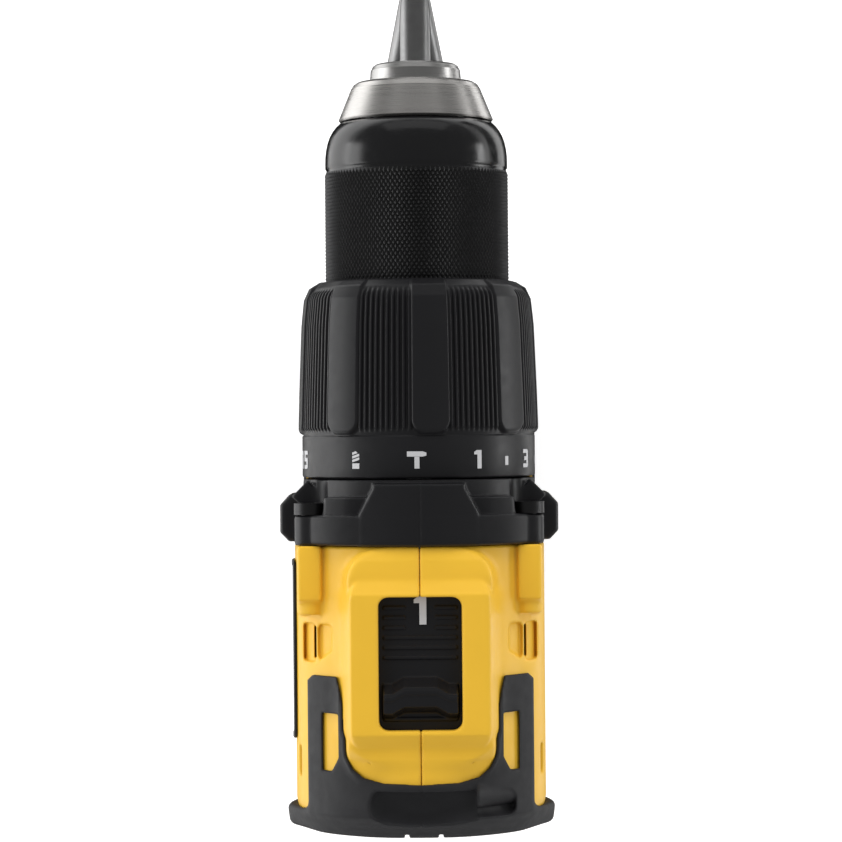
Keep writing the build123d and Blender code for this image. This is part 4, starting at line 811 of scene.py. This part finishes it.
NUMBER_R, MARK_X, NUMBER_STEP = 26.7, -10.4, 36.5
FIRST_TURNS, NUMBER_COUNT = (30.3, 64.5), 8
NUMBER_SIZE, MARK_HEIGHT = 4.1, 0.12
DIGIT_SIZE, DIGIT_PITCH = 3.8, 3.2
DIGITS = {
    "1": [[(-0.45, -1.9), (0.5, -1.9), (0.5, 1.9), (-0.6, 1.9), (-1.2, 1.5), (-1.2, 1.0), (-0.45, 1.0)]],
    "3": [
        [(-1.2, 1.9), (0.8, 1.9), (1.2, 1.5), (1.2, -1.5), (0.8, -1.9), (-1.2, -1.9), (-1.2, -1.1)]
        + [(0.35, -1.1), (0.35, -0.4), (-0.7, -0.4), (-0.7, 0.4), (0.35, 0.4), (0.35, 1.1), (-1.2, 1.1)]
    ],
    "5": [
        [(-1.2, 1.9), (1.2, 1.9), (1.2, 1.1), (-0.35, 1.1), (-0.35, 0.45), (0.8, 0.45), (1.2, 0.05)]
        + [(1.2, -1.5), (0.8, -1.9), (-1.2, -1.9), (-1.2, -1.1), (0.35, -1.1), (0.35, -0.35), (-1.2, -0.35)]
    ],
    "7": [[(-1.2, 1.9), (1.2, 1.9), (1.2, 0.9), (0.3, -1.9), (-0.65, -1.9), (0.3, 1.1), (-1.2, 1.1)]],
    "9": [
        [(-1.2, 1.1), (1.2, 1.1), (1.2, 1.5), (0.8, 1.9), (-0.8, 1.9), (-1.2, 1.5)],
        [(-1.2, 0.45), (-0.35, 0.45), (-0.35, 1.1), (-1.2, 1.1)],
        [(0.35, -1.1), (1.2, -1.1), (1.2, 1.1), (0.35, 1.1)],
        [(-1.2, 0.05), (-0.8, -0.35), (0.35, -0.35), (0.35, 0.45), (-1.2, 0.45)],
        [(-1.2, -1.9), (0.8, -1.9), (1.2, -1.5), (1.2, -1.1), (-1.2, -1.1)],
    ],
}


def on_band(name, flat, turn, x, material):
    """Wraps a flat mark (across, along, height) on the number band, turned from straight up towards -y."""
    points = []
    for across, along, height in flat[0]:
        angle = math.radians(turn) + across / NUMBER_R
        r = NUMBER_R + height
        points.append((x + along, -r * math.sin(angle), r * math.cos(angle)))
    piece = add_mesh(name, points, flat[1], material, "collar", smooth=False)


def letters(text, size, height):
    """A flat mark from plain square digits, centred: size is the digits' height."""
    scale = size / DIGIT_SIZE
    loops = []
    for i, digit in enumerate(text):
        shift = (i - (len(text) - 1) / 2) * DIGIT_PITCH
        loops += [[((a + shift) * scale, b * scale) for a, b in loop] for loop in DIGITS[digit]]
    return plate(loops, height)


def plate(outlines, height):
    """A flat mark from closed outlines of (across, along) points."""
    points, faces = [], []
    for loop in outlines:
        n, start = len(loop), len(points)
        points += [(a, b, height) for a, b in loop] + [(a, b, -height) for a, b in loop]
        faces.append(tuple(range(start, start + n)))
        faces.append(tuple(range(start + 2 * n - 1, start + n - 1, -1)))
        for i in range(n):
            j = (i + 1) % n
            faces.append((start + i, start + n + i, start + n + j, start + j))
    return points, faces


def band_marks():
    """The torque numbers with dots between, the hammer and the drill bit."""
    paint = moulded("mark_paint", (0.52, 0.52, 0.53), 0.5, grain=0.004)
    turns = [FIRST_TURNS[0]] + [FIRST_TURNS[1] + NUMBER_STEP * i for i in range(NUMBER_COUNT - 1)]
    for i, turn in enumerate(turns):
        number = letters(str(2 * i + 1), NUMBER_SIZE, MARK_HEIGHT)
        on_band(f"number_{2 * i + 1}", number, turn, MARK_X, paint)
    for i, (low, high) in enumerate(zip(turns, turns[1:])):
        dot = plate([[(-0.5, -1.0), (0.5, -1.0), (0.5, 1.0), (-0.5, 1.0)]], MARK_HEIGHT)
        on_band(f"dot_{i + 1}", dot, (low + high) / 2, MARK_X - 0.4, paint)
    hammer = [
        [(-0.55, -1.9), (0.55, -1.9), (0.55, 0.7), (-0.55, 0.7)],
        [(-2.2, 0.75), (1.3, 0.75), (2.1, 0.95), (2.1, 1.6), (1.3, 1.9), (-2.2, 1.9)],
    ]
    on_band("hammer_mark", plate(hammer, MARK_HEIGHT), -0.8, MARK_X, paint)
    bit = [
        [(-0.9, -1.9), (0.9, -1.9), (0.9, -0.7), (-0.9, -0.7)],
        [(-0.9, -0.45), (0.9, 0.1), (0.9, 0.65), (-0.9, 0.1)],
        [(-0.9, 0.35), (0.9, 0.9), (0.9, 1.45), (-0.9, 0.9)],
        [(-0.9, 1.15), (0.5, 1.6), (0.0, 2.0), (-0.9, 1.7)],
    ]
    on_band("bit_mark", plate(bit, MARK_HEIGHT), -31.5, MARK_X, paint)
    # the speed figure lies flat on the selector, read from behind
    points, faces = letters("1", 6.2, 0.05)
    figure = [(-43.6 + b, -a - 0.6, 27.93 + c) for a, b, c in points]
    mark = add_mesh("gear_mark", figure, faces, paint, "selector", smooth=False)


# ------------------------ battery
SPLIT_Z = -153.0


def pack_plan(g):
    """Distance to the battery's rounded plan."""
    return joined([stretch(*BATTERY_X, g.x), stretch(-BATTERY_HALF, BATTERY_HALF, g.y)], 9.0)


def pack_hollow(g):
    """Distance to the plan of the space inside the battery's walls."""
    return joined([stretch(-69.6, 30.6, g.x), stretch(-29.4, 29.4, g.y)], 6.6)


def battery_bottom():
    """Lower tray of the battery with hand grooves along its sides."""
    g = Grid([(-72.4, 33.4, 0.7)], [(-32.2, 32.2, 0.7)], [(-172.4, -152.4, 0.6)])
    tray = joined([pack_plan(g), stretch(-172, -140, g.z)], 2.6)
    tray = meet(tray, g.z - SPLIT_Z, 0.4)
    tray = cut(tray, joined([pack_hollow(g), -170 - g.z], 1.0), 0.3)
    groove = np.hypot(np.maximum(np.abs(g.x + 18) - 26, 0) * 0.4, g.z + 160.5) - 3.4
    tray = cut(tray, np.maximum(groove, 31.3 - np.abs(g.y)), 0.3)
    for x in (-58.0, 20.0):
        for y in (-22.0, 22.0):
            away = np.sqrt((g.x - x) ** 2 + (g.y - y) ** 2)
            tray = cut(tray, np.maximum(away - 3.0, g.z + 170.9), 0.3)
    points, faces = surface(g, tray)
    piece = add_mesh("pack_tray", points, faces, FINISHES["black_plastic"], "battery")
    thin(piece, 0.5)
    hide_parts("battery_bottom_shell")


def battery_top():
    """Upper half of the battery: shoulder, T-rail, contact slots and the latch's pocket."""
    g = Grid([(-72.4, 33.4, 0.6)], [(-32.2, 32.2, 0.6)], [(-153.4, -121.8, 0.5)])
    lid = joined([pack_plan(g), stretch(-170, -134, g.z)], 2.0)
    lid = meet(lid, SPLIT_Z - g.z, 0.4)
    lid = cut(lid, joined([pack_hollow(g), g.z + 135.2], 0.5))
    # the rail that slides in the foot, hollow over the cells
    lid = unite(lid, box(g, (-61.4, 26), (-17.2, 17.2), (-135.4, -129.0)), 0.5)
    lid = unite(lid, box(g, (-61.4, 26), (-21.5, 21.5), (-129.2, -122.1), 0.5), 0.3)
    lid = cut(lid, box(g, (-59.4, 18.0), (-14.8, 14.8), (-136, -124.1)))
    # the latch's pocket, the slots for the tool's blades and the grip ribs on the sides
    lid = unite(lid, box(g, (21.6, 32.0), (-13.6, 13.6), (-153, -134.6), 0.2))
    lid = cut(lid, box(g, (23.6, 40.0), (-11.6, 11.6), (-151.8, -133.0), 0.4), 0.4)
    for y in (-9.0, -3.0, 3.0, 9.0):
        lid = cut(lid, box(g, (-63, -46), (y - 1.2, y + 1.2), (-128.4, -121)), 0.3)
    for x in (-40.0, -34.0, -28.0, -22.0, -16.0, -10.0, -4.0):
        for side in ((31.2, 40), (-40, -31.2)):
            lid = cut(lid, box(g, (x - 1.4, x + 1.4), side, (-148, -138.5), 0.3), 0.3)
    points, faces = surface(g, lid)
    piece = add_mesh("pack_lid", points, faces, FINISHES["black_plastic"], "battery")
    thin(piece, 0.5)
    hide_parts("battery_top_shell")


def battery_latch():
    """Release button with grip lines and its catch."""
    g = Grid([(23.8, 35.3, 0.35)], [(-11.4, 11.4, 0.35)], [(-148.4, -131.0, 0.35)])
    latch = box(g, (24.2, 34.4), (-11, 11), (-148, -135), 1.0)
    latch = unite(latch, box(g, (26.8, 29.8), (-6, 6), (-137, -131.4), 0.5), 0.3)
    for z in (-145.0, -142.5, -140.0):
        latch = unite(latch, box(g, (33.6, 35.0), (-8, 8), (z - 0.5, z + 0.5), 0.4), 0.3)
    points, faces = surface(g, latch)
    piece = add_mesh("release_button", points, faces, FINISHES["grey_plastic"], "battery_latch")
    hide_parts("battery_latch")


# ------------------------ CAD pieces that are shown as they are
def finish_cad():
    """Procedural finishes for every CAD node, by the record's material slots, except the gear case's steel
    screws: they get the dark blacked finish as painted shade for the recesses they sit in.
    """
    slots = {part["node"]: part["material_slot"] for part in frame["record"]["subparts"]}
    for name, node in NODES.items():
        # painted shade: the steel case screws take the dark blacked finish, as they lie shaded deep in
        # their bosses
        finish = "black_metal" if name.startswith("case_screw") else slots[name]
        node.data.materials.clear()
        node.data.materials.append(FINISHES[finish])


housing()
gear_case()
rear_bumper()
grip_rubber()
badge()
speed_selector()
trigger()
direction_lever()
sleeve()
collar()
band_marks()
battery_bottom()
battery_top()
battery_latch()
finish_cad()


# ------------------------ room, lights and camera
FLOOR_HALF, FLOOR_DROP, SURROUNDINGS = 6.0, 0.0002, 0.19
# name, place and size in metres, power in watts, and whether reflections see it
LIGHTS = (
    ("left_top", (0.0, 0.85, 0.95), (1.6, 0.7), 6.5, False),
    ("right_top", (0.0, -0.85, 0.95), (1.6, 0.7), 4.5, False),
    ("front_top", (0.95, 0.0, 0.7), (1.4, 0.5), 8.5, False),
    ("back_top", (-0.95, 0.0, 0.6), (1.4, 0.4), 2.5, False),
    ("left_strip", (0.0, 0.75, 0.2), (0.7, 0.38), 2.0, True),
    ("right_strip", (0.02, -0.8, 0.18), (0.6, 0.16), 1.3, True),
    ("front_strip", (0.9, 0.0, 0.46), (1.0, 0.45), 0.6, True),
)
# the lens stands this far above the spindle, in millimetres, a little behind and to the right of its middle
EYE_HEIGHT, EYE_X, EYE_Y = 690, -0.0018, -0.0006
LENS, SENSOR, EYE_TURN = 128.3, 36.0, -90.5


def area_light(name, place, aim, size, power, glossy):
    """A soft rectangular light that points at aim."""
    light = bpy.data.lights.new(name, "AREA")
    light.shape, light.size, light.size_y = "RECTANGLE", *size
    light.energy = power
    lamp = bpy.data.objects.new(name, light)
    lamp.visible_glossy = glossy
    lamp.location = place
    lamp.rotation_euler = (Vector(aim) - Vector(place)).to_track_quat("-Z", "Y").to_euler()
    bpy.context.scene.collection.objects.link(lamp)


def studio():
    """Pale floor, even white surroundings and large soft lights."""
    paper = moulded("paper", (0.93, 0.93, 0.93), 0.9, grain=0.0, change=0.004, Emission_Strength=0.5)
    paper.node_tree.nodes["Principled BSDF"].inputs["Emission Color"].default_value = (1, 1, 1, 1)
    floor_mesh = bpy.data.meshes.new("floor")
    half = FLOOR_HALF
    corners = [(-half, -half, 0), (half, -half, 0), (half, half, 0), (-half, half, 0)]
    floor_mesh.from_pydata(corners, [], [(0, 1, 2, 3)])
    floor_mesh.materials.append(paper)
    floor = bpy.data.objects.new("floor", floor_mesh)
    floor.location.z = -FLOOR_DROP
    bpy.context.scene.collection.objects.link(floor)
    world = bpy.data.worlds.new("room")
    world.use_nodes = True
    background = world.node_tree.nodes["Background"].inputs
    background["Color"].default_value = (1, 1, 1, 1)
    background["Strength"].default_value = SURROUNDINGS
    bpy.context.scene.world = world
    middle = (0.0, 0.0, AXIS_Z * MM)
    for name, place, size, power, glossy in LIGHTS:
        area_light(name, place, middle, size, power, glossy)
    flags()


def flags():
    """Dark cards that only reflections see: one flat under the drill, one upright on its right."""
    card = moulded("card", (0.01, 0.01, 0.01), 0.9, grain=0.0)
    flat = [(-0.5, -0.13, 0.001), (0.5, -0.13, 0.001), (0.5, 0.13, 0.001), (-0.5, 0.13, 0.001)]
    upright = [(-0.5, -0.26, 0.0), (0.5, -0.26, 0.0), (0.5, -0.26, 0.11), (-0.5, -0.26, 0.11)]
    for name, corners in (("flat_card", flat), ("right_card", upright)):
        mesh = bpy.data.meshes.new(name)
        mesh.from_pydata(corners, [], [(0, 1, 2, 3)])
        mesh.materials.append(card)
        flag = bpy.data.objects.new(name, mesh)
        flag.visible_camera = False
        flag.visible_diffuse = False
        flag.visible_shadow = False
        bpy.context.scene.collection.objects.link(flag)


def camera():
    """Straight above the drill, nose at the top of the picture."""
    data = bpy.data.cameras.new("camera")
    data.lens, data.sensor_width = LENS, SENSOR
    data.clip_start = 0.05
    eye = bpy.data.objects.new("camera", data)
    eye.location = (EYE_X, EYE_Y, (AXIS_Z + EYE_HEIGHT) * MM)
    eye.rotation_euler = (0, 0, math.radians(EYE_TURN))
    bpy.context.scene.collection.objects.link(eye)
    bpy.context.scene.camera = eye


studio()
camera()
bpy.context.scene.view_settings.view_transform = "Standard"
